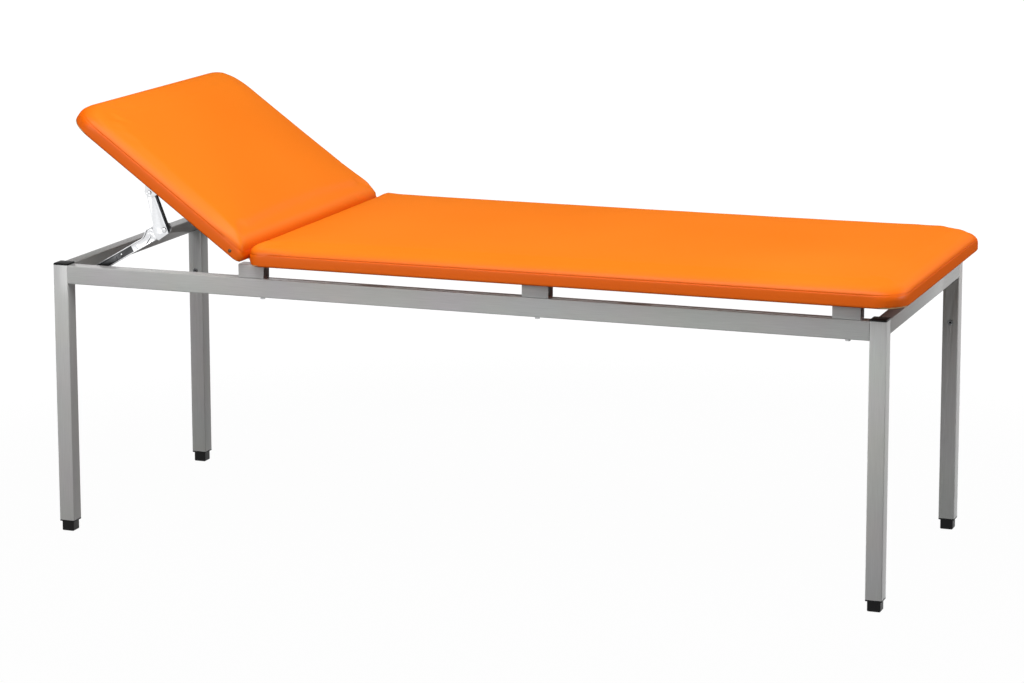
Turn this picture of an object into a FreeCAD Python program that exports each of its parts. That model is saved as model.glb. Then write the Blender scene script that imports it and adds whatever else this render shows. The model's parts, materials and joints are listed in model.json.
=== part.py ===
"""Examination table: welded square tube frame, two upholstered pads, headrest raised on ratchet stays.

Millimetres. +X runs from the head end to the foot end, +Y from the front side to the rear side, +Z up.
The origin is on the floor, under the middle of the whole table.
The headrest is drawn raised by HEAD_TILT, and both stays are drawn to match it.
"""
import FreeCAD, Part
import math
import os
from FreeCAD import Vector

os.makedirs("parts", exist_ok=True)

# Frame
FRAME_LENGTH = 1850.0
FRAME_WIDTH = 700.0
FRAME_TOP = 595.0
LEG_SECTION = 35.0
RAIL_WIDTH = 30.0
SIDE_RAIL_HEIGHT = 40.0
END_RAIL_HEIGHT = 30.0
TUBE_WALL = 1.5
TUBE_CORNER = 2.5

# Spacers between side rails and pad: the first one reaches under the hinge, the last one stands near the foot end
SPACER_LENGTH = 58.0
SPACER_HEIGHT = 30.0
SPACER_PAST_HINGE = 11.0
SPACER_TO_FOOT_END = 82.0
SPACER_MID_SHIFT = -8.0
BOLT_PAST_HINGE = 31.0

# Feet and caps
FOOT_HEIGHT = 25.0
FOOT_FLANGE = 3.0
FOOT_BLOCK_INSET = 3.5
FOOT_CHAMFER = 1.5
CAP_THICKNESS = 2.5
CAP_CHAMFER = 0.8
INSERT_CORE = 24.0
INSERT_FIN = 1.2
INSERT_PITCH = 4.5
INSERT_FINS = 4
INSERT_CLEARANCE = 0.05

# Rivet nuts in the inner faces of the legs
RIVET_NUT_HEIGHT = 465.0
RIVET_NUT_BORE_R = 2.5
RIVET_NUT_BODY_R = 4.5
RIVET_NUT_FLANGE_R = 6.0
RIVET_NUT_FLANGE = 1.0
RIVET_NUT_BULGE_R = 5.8
RIVET_NUT_BULGE = 4.0
RIVET_NUT_LENGTH = 15.0

# Pads: the head pad's lower end is mitred so that it clears the body pad when raised to HEAD_TILT_MAX
PAD_OVERHANG_SIDE = 25.0
PAD_OVERHANG_END = 38.0
PAD_THICKNESS = 50.0
PAD_CORNER = 55.0
PAD_JOINT_CORNER = 30.0
PAD_TOP_EDGE = 16.0
PAD_BOTTOM_EDGE = 4.0
PAD_NOSE_BODY = 20.0
PAD_NOSE_HEAD = 14.0
PAD_NOSE_CLEARANCE = 1.5
COVER_THICKNESS = 1.2
COVER_HEM = 88.0
BOARD_THICKNESS = 15.0
BOARD_TO_HINGE = 13.0

# Hinges between the two boards
HINGE_STATION = 461.0
HINGE_TO_BODY_PAD = 9.0
HINGE_WIDTH = 60.0
HINGE_LEAF = 60.0
HINGE_LEAF_THICKNESS = 2.0
HINGE_BARREL_R = 5.0
HINGE_PIN_R = 2.5
HINGE_PIN_CLEARANCE = 0.05
HINGE_KNUCKLES = 5
HINGE_KNUCKLE_GAP = 0.4
HINGE_INSET = 36.0
HINGE_SCREW_ROWS = (41.0, 52.0)
HINGE_SCREW_EDGE = 12.0
HEAD_TILT = 36.0
HEAD_TILT_MAX = 40.0

# Screws and bolts
SCREW_R = 2.0
SCREW_HEAD_R = 3.8
SCREW_HEAD = 1.4
SCREW_LENGTH = 11.0
BOLT_R = 3.0
BOLT_CLEARANCE = 0.3
BOLT_HEAD_AF = 10.0
BOLT_HEAD = 4.0
WASHER_R = 7.0
WASHER = 1.4
TEE_NUT_BARREL_R = 4.0
TEE_NUT_FLANGE_R = 9.0
TEE_NUT_FLANGE = 1.3
FIT = 0.05

# Studs in the sides of the head board, beside the hinges
STUD_ALONG = 38.0
STUD_UP = 11.0
STUD_R = 4.0
STUD_RISE = 2.0
STUD_SHANK_R = 1.5
STUD_SHANK = 12.0

# Ratchet stays: places in side view
STAY_FOOT_STATION = 85.0
STAY_FOOT_DROP = 11.0
STAY_TOP_ALONG = 273.4
STAY_TOP_DROP = 32.5
LOWER_ARM = 191.0
UPPER_ARM = 86.0

# Ratchet stays: layers, counted inwards from the inner face of the side rail
BRACKET_LAYER = (4.0, 6.5)
UPPER_PLATE_LAYER = (7.5, 9.5)
UPPER_FLANK_LAYER = (7.5, 14.5)
TOOTH_LAYER = (14.5, 18.5)
PAWL_LAYER = (14.8, 18.2)
FLANGE_LAYER = (15.0, 19.0)
WEB_LAYER = (19.0, 21.0)

# Ratchet stays: shapes
ARM_SHEET = 2.0
LOWER_ARM_HALF = 9.0
ELBOW_BOSS_R = 14.0
ELBOW_RIVET_R = 4.0
ELBOW_HEAD_R = 6.0
TOP_RIVET_R = 3.5
TOP_HEAD_R = 4.5
RIVET_HEAD = 1.5
STAY_STUD_R = 4.0
STAY_COLLAR_R = 6.0
STAY_STUD_HEAD_R = 7.0
STAY_STUD_HEAD = 3.0
HUB_R = 10.0
TOOTH_TIP_R = 29.0
TOOTH_ROOT_R = 26.0
TOOTH_PITCH_DEG = 15.0
TOOTH_COUNT = 6
TOOTH_FIRST_DEG = 129.0
TOOTH_COVER_R = 27.0
UPPER_LEFT = 8.0
UPPER_RIGHT = 12.5
UPPER_TOP = 8.0
PAWL_PIN_BACK = 33.5
PAWL_PIN_UP = 12.0
PAWL_PIN_R = 2.5
PAWL_PIN_TAIL_R = 4.0
PAWL_PIN_TAIL = 1.2
PAWL_BOSS_R = 6.0
LEAF_SPRING = 0.6
LEAF_SPRING_LAYER = (15.2, 18.8)
BRACKET_BASE = 2.5
BRACKET_BASE_WIDTH = 26.0
BRACKET_HALF_LENGTH = 29.0
BRACKET_BOSS_R = 8.5
BRACKET_SCREW_ALONG = 18.0
BRACKET_SCREW_IN = 17.0

# Reference places
HEAD_END = -(FRAME_LENGTH + PAD_OVERHANG_END) / 2
FOOT_END = HEAD_END + FRAME_LENGTH
FRONT = -FRAME_WIDTH / 2
REAR = FRAME_WIDTH / 2
PAD_BASE = FRAME_TOP + SPACER_HEIGHT
BOARD_BASE = PAD_BASE + COVER_THICKNESS
HINGE_X = HEAD_END + HINGE_STATION
HINGE_Z = PAD_BASE - HINGE_LEAF_THICKNESS + HINGE_BARREL_R
HINGE_AXIS = Vector(HINGE_X, 0, HINGE_Z)
SPACER_X = {"head": HINGE_X + SPACER_PAST_HINGE, "foot": FOOT_END - SPACER_TO_FOOT_END}
SPACER_X["mid"] = (SPACER_X["head"] + SPACER_X["foot"]) / 2 + SPACER_MID_SHIFT
BOLT_X = {"head": HINGE_X + BOLT_PAST_HINGE, "mid": SPACER_X["mid"], "foot": SPACER_X["foot"]}
BOLT_Y = FRONT + RAIL_WIDTH / 2
BODY_PAD_START = HINGE_X + HINGE_TO_BODY_PAD
BODY_PAD_END = FOOT_END + PAD_OVERHANG_END
HEAD_PAD_START = HEAD_END - PAD_OVERHANG_END
RAIL_INNER = FRONT + RAIL_WIDTH
ACROSS = Vector(0, 1, 0)


def plan(level):
    """Map outline coordinates (u, v) to the horizontal plane at a height."""
    return lambda u, v: Vector(u, v, level)


def side(level):
    """Map outline coordinates (u, v) to the upright X-Z plane at a y."""
    return lambda u, v: Vector(u, level, v)


def cross(level):
    """Map outline coordinates (u, v) to the upright Y-Z plane at an x."""
    return lambda u, v: Vector(level, u, v)


def outline(corners, to_space):
    """Return a face through corners (u, v, radius), each rounded by a tangent arc of its radius."""
    points = [(Vector(u, v, 0), radius) for u, v, radius in corners]
    bends = []
    for index, (corner, radius) in enumerate(points):
        back = (points[index - 1][0] - corner).normalize()
        ahead = (points[(index + 1) % len(points)][0] - corner).normalize()
        if radius <= 0:
            bends.append((corner, None, corner))
            continue
        half = back.getAngle(ahead) / 2
        reach = radius / math.tan(half)
        inward = (back + ahead).normalize()
        middle = corner + inward * (radius / math.sin(half) - radius)
        bends.append((corner + back * reach, middle, corner + ahead * reach))
    edges = []
    for index, (start, middle, end) in enumerate(bends):
        before = bends[index - 1][2]
        if before.distanceToPoint(start) > 1e-6:
            edges.append(Part.makeLine(to_space(before.x, before.y), to_space(start.x, start.y)))
        if middle is not None:
            trio = [to_space(point.x, point.y) for point in (start, middle, end)]
            edges.append(Part.Arc(*trio).toShape())
    return Part.Face(Part.Wire(edges))


def rectangle(u, v, radius, to_space):
    """Return a rounded rectangle between the pairs u and v."""
    return outline([(u[0], v[0], radius), (u[1], v[0], radius),
                    (u[1], v[1], radius), (u[0], v[1], radius)], to_space)


def box(x, y, z):
    """Return a box between the pairs x, y and z."""
    return Part.makeBox(x[1] - x[0], y[1] - y[0], z[1] - z[0], Vector(x[0], y[0], z[0]))


def rod(radius, start, end):
    """Return a round bar from start to end."""
    run = end - start
    return Part.makeCylinder(radius, run.Length, start, run)


def disc(radius, u, v, layer):
    """Return a round plate across the table, centred at x = u, z = v, between two y values."""
    return rod(radius, Vector(u, layer[0], v), Vector(u, layer[1], v))


def plate(corners, layer):
    """Return an upright plate with the given X-Z corners, between two y values."""
    return outline(corners, side(layer[0])).extrude(Vector(0, layer[1] - layer[0], 0))


def tube(u, v, to_space, run):
    """Return a rectangular tube whose section lies between the pairs u and v, drawn out along run."""
    bore_u = (u[0] + TUBE_WALL, u[1] - TUBE_WALL)
    bore_v = (v[0] + TUBE_WALL, v[1] - TUBE_WALL)
    skin = rectangle(u, v, TUBE_CORNER, to_space).extrude(run)
    bore = rectangle(bore_u, bore_v, TUBE_CORNER - TUBE_WALL, to_space).extrude(run)
    return skin.cut(bore)


def mirrored(shape):
    """Return the rear copy of a piece drawn on the front side."""
    return shape.mirror(Vector(0, 0, 0), ACROSS)


def raised(shape):
    """Turn a piece drawn on the flat headrest up to the drawn tilt."""
    turned = shape.copy()
    turned.rotate(HINGE_AXIS, ACROSS, HEAD_TILT)
    return turned


def inner_layer(layer):
    """Return the y values of a stay layer of the front stay."""
    return (RAIL_INNER + layer[0], RAIL_INNER + layer[1])


# Frame

LEG_X = {"head": (HEAD_END, HEAD_END + LEG_SECTION), "foot": (FOOT_END - LEG_SECTION, FOOT_END)}
LEG_Y = (FRONT, FRONT + LEG_SECTION)


def leg(x):
    """Front leg tube with the rivet nut's hole in its inner wall."""
    legs = tube(x, LEG_Y, plan(FOOT_HEIGHT), Vector(0, 0, FRAME_TOP - FOOT_HEIGHT))
    middle = (x[0] + x[1]) / 2
    hole = rod(RIVET_NUT_BODY_R, Vector(middle, LEG_Y[1] - 2 * TUBE_WALL, RIVET_NUT_HEIGHT),
               Vector(middle, LEG_Y[1] + TUBE_WALL, RIVET_NUT_HEIGHT))
    return legs.cut(hole)


def rivet_nut(x):
    """Flanged rivet nut, set in the inner wall of a front leg, with its crushed bulge behind the wall."""
    middle = (x[0] + x[1]) / 2
    face = LEG_Y[1]

    def at(depth):
        return Vector(middle, face - depth, RIVET_NUT_HEIGHT)

    body = rod(RIVET_NUT_BODY_R, at(RIVET_NUT_LENGTH), at(0))
    flange = rod(RIVET_NUT_FLANGE_R, at(0), at(-RIVET_NUT_FLANGE))
    bulge = rod(RIVET_NUT_BULGE_R, at(TUBE_WALL + RIVET_NUT_BULGE), at(TUBE_WALL))
    bore = rod(RIVET_NUT_BORE_R, at(RIVET_NUT_LENGTH + 1), at(-RIVET_NUT_FLANGE - 1))
    return body.fuse([flange, bulge]).removeSplitter().cut(bore)


def side_rail():
    """Front side rail, drilled through for the pad bolts."""
    length = FRAME_LENGTH - 2 * LEG_SECTION
    rail = tube((FRONT, RAIL_INNER), (FRAME_TOP - SIDE_RAIL_HEIGHT, FRAME_TOP),
                cross(HEAD_END + LEG_SECTION), Vector(length, 0, 0))
    for x in BOLT_X.values():
        rail = rail.cut(bolt_hole(x, FRAME_TOP - SIDE_RAIL_HEIGHT - 1, FRAME_TOP + 1))
    return rail


def bolt_hole(x, low, high):
    """Upright clearance hole for a pad bolt in the front side rail or a spacer."""
    return rod(BOLT_R + BOLT_CLEARANCE, Vector(x, BOLT_Y, low), Vector(x, BOLT_Y, high))


def end_rail(x_outer, inwards):
    """End rail between the legs, flush with their outer faces."""
    x = sorted((x_outer, x_outer + inwards * RAIL_WIDTH))
    return tube(x, (FRAME_TOP - END_RAIL_HEIGHT, FRAME_TOP), side(FRONT + LEG_SECTION),
                Vector(0, FRAME_WIDTH - 2 * LEG_SECTION, 0))


def spacer(end):
    """Short open tube welded along the top of the front side rail."""
    start = SPACER_X[end] - SPACER_LENGTH / 2
    block = tube((FRONT, RAIL_INNER), (FRAME_TOP, PAD_BASE), cross(start), Vector(SPACER_LENGTH, 0, 0))
    return block.cut(bolt_hole(BOLT_X[end], FRAME_TOP - 1, PAD_BASE + 1))


def ribbed_insert(x, level, direction):
    """Plastic core with sealing fins that grips the inside of a leg tube, growing from a height."""
    middle = ((x[0] + x[1]) / 2, (LEG_Y[0] + LEG_Y[1]) / 2)
    depth = INSERT_PITCH * INSERT_FINS + INSERT_FIN
    fin_half = LEG_SECTION / 2 - TUBE_WALL - INSERT_CLEARANCE
    fin_corner = TUBE_CORNER - TUBE_WALL

    def slab(half, radius, start, height):
        low = min(level + direction * start, level + direction * (start + height))
        face = rectangle((middle[0] - half, middle[0] + half), (middle[1] - half, middle[1] + half),
                         radius, plan(low))
        return face.extrude(Vector(0, 0, height))

    fins = [slab(fin_half, fin_corner, INSERT_PITCH * (index + 1), INSERT_FIN) for index in range(INSERT_FINS)]
    return slab(INSERT_CORE / 2, fin_corner, 0, depth).fuse(fins)


def leg_cap(x):
    """Black cap plug that closes the top of a front leg."""
    lid = rectangle(x, LEG_Y, TUBE_CORNER, plan(FRAME_TOP)).extrude(Vector(0, 0, CAP_THICKNESS))
    rim = [edge for edge in lid.Edges if edge.BoundBox.ZMin > FRAME_TOP + CAP_THICKNESS - 0.01]
    return lid.makeChamfer(CAP_CHAMFER, rim).fuse(ribbed_insert(x, FRAME_TOP, -1))


def foot(x):
    """Plastic foot under a front leg: flange, block on the floor, and ribbed insert in the tube."""
    flange = rectangle(x, LEG_Y, TUBE_CORNER, plan(FOOT_HEIGHT - FOOT_FLANGE))
    inset_x = (x[0] + FOOT_BLOCK_INSET, x[1] - FOOT_BLOCK_INSET)
    inset_y = (LEG_Y[0] + FOOT_BLOCK_INSET, LEG_Y[1] - FOOT_BLOCK_INSET)
    block = rectangle(inset_x, inset_y, TUBE_CORNER, plan(0))
    block = block.extrude(Vector(0, 0, FOOT_HEIGHT - FOOT_FLANGE))
    sole = [edge for edge in block.Edges if edge.BoundBox.ZMax < 0.01]
    block = block.makeChamfer(FOOT_CHAMFER, sole)
    return flange.extrude(Vector(0, 0, FOOT_FLANGE)).fuse([block, ribbed_insert(x, FOOT_HEIGHT, 1)])


# Pads: solid = plan outline, side profile and end profile drawn out and intersected

def pad_profile_body():
    """Side view of the body pad, with a rounded nose over the hinge."""
    top = PAD_BASE + PAD_THICKNESS
    return [(BODY_PAD_START, PAD_BASE, PAD_NOSE_BODY), (BODY_PAD_END, PAD_BASE, PAD_BOTTOM_EDGE),
            (BODY_PAD_END, top, PAD_TOP_EDGE), (BODY_PAD_START, top, PAD_TOP_EDGE)]


def pad_profile_head():
    """Side view of the flat head pad, mitred at the hinge by the largest tilt."""
    top = PAD_BASE + PAD_THICKNESS
    tilt = math.radians(HEAD_TILT_MAX)
    reach = (HINGE_TO_BODY_PAD - PAD_NOSE_CLEARANCE) / math.cos(tilt)

    def mitre(level):
        return HINGE_X + reach - (level - HINGE_Z) * math.tan(tilt)

    return [(HEAD_PAD_START, PAD_BASE, PAD_BOTTOM_EDGE), (mitre(PAD_BASE), PAD_BASE, PAD_NOSE_HEAD),
            (mitre(top), top, PAD_TOP_EDGE), (HEAD_PAD_START, top, PAD_TOP_EDGE)]


def pad_solid(profile, plan_corners, shrink):
    """Return a pad's solid, shrunk on all sides, so that cover, foam and board nest in each other."""
    y = (FRONT - PAD_OVERHANG_SIDE, REAR + PAD_OVERHANG_SIDE)
    x = (min(corner[0] for corner in profile), max(corner[0] for corner in profile))
    z = (PAD_BASE, PAD_BASE + PAD_THICKNESS)
    near, far = plan_corners
    views = [
        outline([(x[0], y[0], near), (x[1], y[0], far), (x[1], y[1], far), (x[0], y[1], near)], plan(z[0])),
        outline(profile, side(y[0])),
        outline([(y[0], z[0], PAD_BOTTOM_EDGE), (y[1], z[0], PAD_BOTTOM_EDGE),
                 (y[1], z[1], PAD_TOP_EDGE), (y[0], z[1], PAD_TOP_EDGE)], cross(x[0])),
    ]
    if shrink:
        views = [view.makeOffset2D(-shrink) for view in views]
    drawn = [view.extrude(run) for view, run in zip(views, (
        Vector(0, 0, PAD_THICKNESS), Vector(0, y[1] - y[0], 0), Vector(x[1] - x[0], 0, 0)))]
    return drawn[0].common(drawn[1]).common(drawn[2])


def pad_pieces(profile, plan_corners, board_x, holes):
    """Return board, foam and cover of a pad; the board lies between the pair board_x."""
    whole = pad_solid(profile, plan_corners, 0)
    core = pad_solid(profile, plan_corners, COVER_THICKNESS)
    limits = whole.BoundBox
    slab = box(board_x, (limits.YMin, limits.YMax), (BOARD_BASE, BOARD_BASE + BOARD_THICKNESS))
    board = core.common(slab)
    foam = core.cut(board)
    opening = rectangle((limits.XMin + COVER_HEM, limits.XMax - COVER_HEM),
                        (limits.YMin + COVER_HEM, limits.YMax - COVER_HEM), PAD_JOINT_CORNER,
                        plan(PAD_BASE - 1)).extrude(Vector(0, 0, BOARD_BASE - PAD_BASE + 1))
    cover = whole.cut(core).cut(opening)
    cutters = Part.makeCompound(holes)
    return board.cut(cutters), foam, cover.cut(cutters)


def screw(x, y, base, up):
    """Countersunk wood screw driven along Z from the level of its head's flat."""
    head = Part.makeCone(SCREW_HEAD_R, SCREW_R, SCREW_HEAD, Vector(x, y, base), Vector(0, 0, up))
    shank = rod(SCREW_R, Vector(x, y, base), Vector(x, y, base + up * SCREW_LENGTH))
    return head.fuse(shank)


def screw_hole(x, y, base, up):
    """Hole that a screw of the same place fills, with its fit."""
    head = Part.makeCone(SCREW_HEAD_R + FIT, SCREW_R + FIT, SCREW_HEAD, Vector(x, y, base), Vector(0, 0, up))
    shank = rod(SCREW_R + FIT, Vector(x, y, base - up), Vector(x, y, base + up * (SCREW_LENGTH + FIT)))
    return head.fuse(shank)


def pad_bolt(x):
    """Hexagon bolt with washer, from under the front side rail up into the body board."""
    y = BOLT_Y
    seat = FRAME_TOP - SIDE_RAIL_HEIGHT
    shank = rod(BOLT_R, Vector(x, y, seat - WASHER), Vector(x, y, BOARD_BASE + BOARD_THICKNESS - TEE_NUT_FLANGE))
    washer = rod(WASHER_R, Vector(x, y, seat - WASHER), Vector(x, y, seat))
    reach = BOLT_HEAD_AF / math.sqrt(3)
    corners = [(x + reach * math.cos(math.radians(60 * index)), y + reach * math.sin(math.radians(60 * index)), 0)
               for index in range(6)]
    head = outline(corners, plan(seat - WASHER - BOLT_HEAD)).extrude(Vector(0, 0, BOLT_HEAD))
    return shank.fuse([washer, head])


def tee_nut(x):
    """Tee nut let into the top of the body board over a pad bolt."""
    y = BOLT_Y
    top = BOARD_BASE + BOARD_THICKNESS
    flange = rod(TEE_NUT_FLANGE_R, Vector(x, y, top - TEE_NUT_FLANGE), Vector(x, y, top))
    barrel = rod(TEE_NUT_BARREL_R, Vector(x, y, BOARD_BASE), Vector(x, y, top))
    thread = rod(BOLT_R + FIT, Vector(x, y, BOARD_BASE - 1), Vector(x, y, top - TEE_NUT_FLANGE + FIT))
    return flange.fuse(barrel).cut(thread)


def tee_nut_seat(x):
    """Hole in board and hem for a tee nut and its bolt."""
    y = BOLT_Y
    top = BOARD_BASE + BOARD_THICKNESS
    flange = rod(TEE_NUT_FLANGE_R + FIT, Vector(x, y, top - TEE_NUT_FLANGE), Vector(x, y, top))
    barrel = rod(TEE_NUT_BARREL_R + FIT, Vector(x, y, PAD_BASE - 1), Vector(x, y, top))
    return flange.fuse(barrel)


# Hinges

HINGE_Y = (FRONT + HINGE_INSET, FRONT + HINGE_INSET + HINGE_WIDTH)


def hinge_screw_places(sign):
    """Screw places (x, y) in a front hinge leaf on one side of the axis."""
    rows = [HINGE_X + sign * row for row in HINGE_SCREW_ROWS]
    columns = (HINGE_Y[0] + HINGE_SCREW_EDGE, HINGE_Y[1] - HINGE_SCREW_EDGE)
    return [(rows[0], columns[0]), (rows[0], columns[1]), (rows[1], sum(columns) / 2)]


def hinge_leaf(sign):
    """Leaf with its knuckles, drawn flat; sign is +1 under the body board and -1 under the head board."""
    low = PAD_BASE - HINGE_LEAF_THICKNESS
    x = sorted((HINGE_X, HINGE_X + sign * HINGE_LEAF))
    leaf = box(x, HINGE_Y, (low, PAD_BASE))
    pitch = HINGE_WIDTH / HINGE_KNUCKLES
    first = 0 if sign > 0 else 1
    barrel = rod(HINGE_BARREL_R, Vector(HINGE_X, HINGE_Y[0], HINGE_Z), Vector(HINGE_X, HINGE_Y[1], HINGE_Z))
    leaf = leaf.fuse(barrel)
    for index in range(HINGE_KNUCKLES):
        if index % 2 == first:
            continue
        y = HINGE_Y[0] + index * pitch
        span = (y - HINGE_KNUCKLE_GAP / 2, y + pitch + HINGE_KNUCKLE_GAP / 2)
        keep_out = disc(HINGE_BARREL_R + HINGE_KNUCKLE_GAP, HINGE_X, HINGE_Z, span)
        leaf = leaf.cut(keep_out)
    leaf = leaf.cut(disc(HINGE_PIN_R + HINGE_PIN_CLEARANCE, HINGE_X, HINGE_Z, (HINGE_Y[0] - 1, HINGE_Y[1] + 1)))
    for x_screw, y_screw in hinge_screw_places(sign):
        leaf = leaf.cut(screw_hole(x_screw, y_screw, low, 1))
    return leaf


def hinge_pin():
    """Pin through the knuckles of the front hinge."""
    return disc(HINGE_PIN_R, HINGE_X, HINGE_Z, HINGE_Y)


def hinge_screws(sign, shape):
    """Screws or their holes for a front hinge leaf."""
    low = PAD_BASE - HINGE_LEAF_THICKNESS
    return [shape(x, y, low, 1) for x, y in hinge_screw_places(sign)]


# Ratchet stay of the front side, in its own side-view places

STAY_FOOT = Vector(HEAD_END + STAY_FOOT_STATION, 0, FRAME_TOP - STAY_FOOT_DROP)
STAY_TOP_FLAT = Vector(HINGE_X - STAY_TOP_ALONG, 0, PAD_BASE - STAY_TOP_DROP)


def stay_geometry():
    """Return top pivot, elbow and the turns of both arms from upright and level, at the drawn tilt."""
    top = HINGE_AXIS + FreeCAD.Rotation(ACROSS, HEAD_TILT).multVec(STAY_TOP_FLAT - HINGE_AXIS)
    span = top - STAY_FOOT
    reach = span.Length
    along = (LOWER_ARM ** 2 - UPPER_ARM ** 2 + reach ** 2) / (2 * reach)
    off = math.sqrt(LOWER_ARM ** 2 - along ** 2)
    unit = Vector(span).normalize()
    footward = Vector(unit.z, 0, -unit.x)
    elbow = STAY_FOOT + unit * along + footward * off
    lower_turn = -math.degrees(math.atan2(elbow.z - STAY_FOOT.z, elbow.x - STAY_FOOT.x))
    upper_turn = math.degrees(math.atan2(top.x - elbow.x, top.z - elbow.z))
    return top, elbow, lower_turn, upper_turn


STAY_TOP, STAY_ELBOW, LOWER_TURN, UPPER_TURN = stay_geometry()


def set_down(shape, pivot, turn):
    """Turn a piece drawn about the Y axis and carry it to its pivot."""
    placed = shape.copy()
    placed.rotate(Vector(0, 0, 0), ACROSS, turn)
    placed.translate(pivot)
    return placed


def lower_arm():
    """Lower arm drawn from its foot pivot along +X: web, edge flanges and the bulge that holds the pawl."""
    half = LOWER_ARM_HALF
    bulge = PAWL_PIN_UP + 9
    pin_x = LOWER_ARM - PAWL_PIN_BACK
    corners = [
        (-half, -half, half - 0.01), (LOWER_ARM + ELBOW_BOSS_R, -half, 12), (LOWER_ARM + ELBOW_BOSS_R, 10, 10),
        (LOWER_ARM - 16, bulge, 12), (pin_x - 9, bulge, 8), (pin_x - 24, half, 20), (-half, half, half - 0.01),
    ]
    web_layer = inner_layer(WEB_LAYER)
    flange_layer = inner_layer(FLANGE_LAYER)
    web = plate(corners, web_layer)
    face = outline(corners, side(flange_layer[0]))
    rim = face.cut(face.makeOffset2D(-ARM_SHEET)).extrude(Vector(0, flange_layer[1] - flange_layer[0], 0))
    keep_top = box((half, LOWER_ARM - 26), flange_layer, (0, bulge + 1))
    keep_bottom = box((half, LOWER_ARM - 46), flange_layer, (-half - 1, 0))
    stiffener = plate([(half, -half + 3, 2), (52, -half + 3, 2), (52, half - 3, 2), (half, half - 3, 2)],
                      (web_layer[0] - 1.5, web_layer[0]))
    arm = web.fuse([rim.common(keep_top), rim.common(keep_bottom), stiffener])
    arm = arm.cut(disc(STAY_STUD_R + FIT, 0, 0, (flange_layer[0], web_layer[1] + 1)))
    arm = arm.cut(disc(ELBOW_RIVET_R, LOWER_ARM, 0, (web_layer[0] - 1, web_layer[1] + 1)))
    arm = arm.cut(disc(PAWL_PIN_R, pin_x, PAWL_PIN_UP, (web_layer[0] - 1, web_layer[1] + 1)))
    return arm.removeSplitter()


def stay_stud():
    """Stud welded to the side rail: collar, shank through the arm's web and riveted head."""
    web = inner_layer(WEB_LAYER)
    collar = disc(STAY_COLLAR_R, 0, 0, (RAIL_INNER, web[0] - 0.2))
    shank = disc(STAY_STUD_R, 0, 0, (web[0] - 0.2, web[1] + 0.3))
    head = disc(STAY_STUD_HEAD_R, 0, 0, (web[1] + 0.3, web[1] + 0.3 + STAY_STUD_HEAD))
    return collar.fuse([shank, head])


def upper_arm():
    """Upper arm drawn from the elbow along +Z: tapered plate, folded flank and round tooth cover."""
    low, high = inner_layer(UPPER_PLATE_LAYER)
    first = math.radians(TOOTH_FIRST_DEG + 8)
    last = math.radians(TOOTH_FIRST_DEG + TOOTH_COUNT * TOOTH_PITCH_DEG)
    cover_start = (TOOTH_COVER_R * math.cos(first), TOOTH_COVER_R * math.sin(first))
    cover_end = (TOOTH_COVER_R * math.cos(last), TOOTH_COVER_R * math.sin(last))
    top = UPPER_ARM + UPPER_TOP
    corners = [(UPPER_RIGHT, -9, 6), (UPPER_RIGHT, top, 9), (-UPPER_LEFT, top, 7), (*cover_start, 0), (*cover_end, 0)]
    blade = plate(corners, (low, high))
    middle = (first + last) / 2
    trio = [Vector(TOOTH_COVER_R * math.cos(turn), low, TOOTH_COVER_R * math.sin(turn))
            for turn in (first, middle, last)]
    bow = Part.Face(Part.Wire([Part.Arc(*trio).toShape(), Part.makeLine(trio[2], trio[0])]))
    blade = blade.fuse(bow.extrude(Vector(0, high - low, 0)))
    flank = box((UPPER_RIGHT - ARM_SHEET, UPPER_RIGHT), inner_layer(UPPER_FLANK_LAYER), (-3, top - 9))
    arm = blade.fuse(flank)
    arm = arm.cut(disc(ELBOW_RIVET_R + FIT, 0, 0, (low - 1, high + 1)))
    arm = arm.cut(disc(TOP_RIVET_R, 0, UPPER_ARM, (low - 1, high + 1)))
    return arm.removeSplitter()


def ratchet_plate():
    """Toothed plate on its hub, fixed to the upper arm about the elbow."""
    layer = inner_layer(TOOTH_LAYER)
    plate_back = inner_layer(UPPER_PLATE_LAYER)[1]
    points = [(0, 0, 0)]
    for index in range(TOOTH_COUNT):
        start = math.radians(TOOTH_FIRST_DEG + index * TOOTH_PITCH_DEG)
        end = math.radians(TOOTH_FIRST_DEG + (index + 0.85) * TOOTH_PITCH_DEG)
        points.append((TOOTH_ROOT_R * math.cos(start), TOOTH_ROOT_R * math.sin(start), 0))
        points.append((TOOTH_TIP_R * math.cos(end), TOOTH_TIP_R * math.sin(end), 0))
    last = math.radians(TOOTH_FIRST_DEG + TOOTH_COUNT * TOOTH_PITCH_DEG)
    points.append((TOOTH_ROOT_R * math.cos(last), TOOTH_ROOT_R * math.sin(last), 0))
    teeth = plate(points, layer).fuse(disc(HUB_R, 0, 0, (plate_back, layer[1])))
    return teeth.cut(disc(ELBOW_RIVET_R + FIT, 0, 0, (plate_back - 1, layer[1] + 1))).removeSplitter()


def elbow_rivet():
    """Rivet that joins both arms: fixed in the web, running in the upper arm."""
    front = inner_layer(UPPER_PLATE_LAYER)[0] - 0.3
    back = inner_layer(WEB_LAYER)[1]
    shank = disc(ELBOW_RIVET_R, 0, 0, (front, back))
    head = disc(ELBOW_HEAD_R, 0, 0, (front - RIVET_HEAD, front))
    tail = disc(ELBOW_HEAD_R, 0, 0, (back, back + RIVET_HEAD))
    rim = [edge for edge in head.Edges if edge.BoundBox.YMax < front - RIVET_HEAD + 0.01]
    return shank.fuse([head.makeChamfer(0.6, rim), tail])


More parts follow.
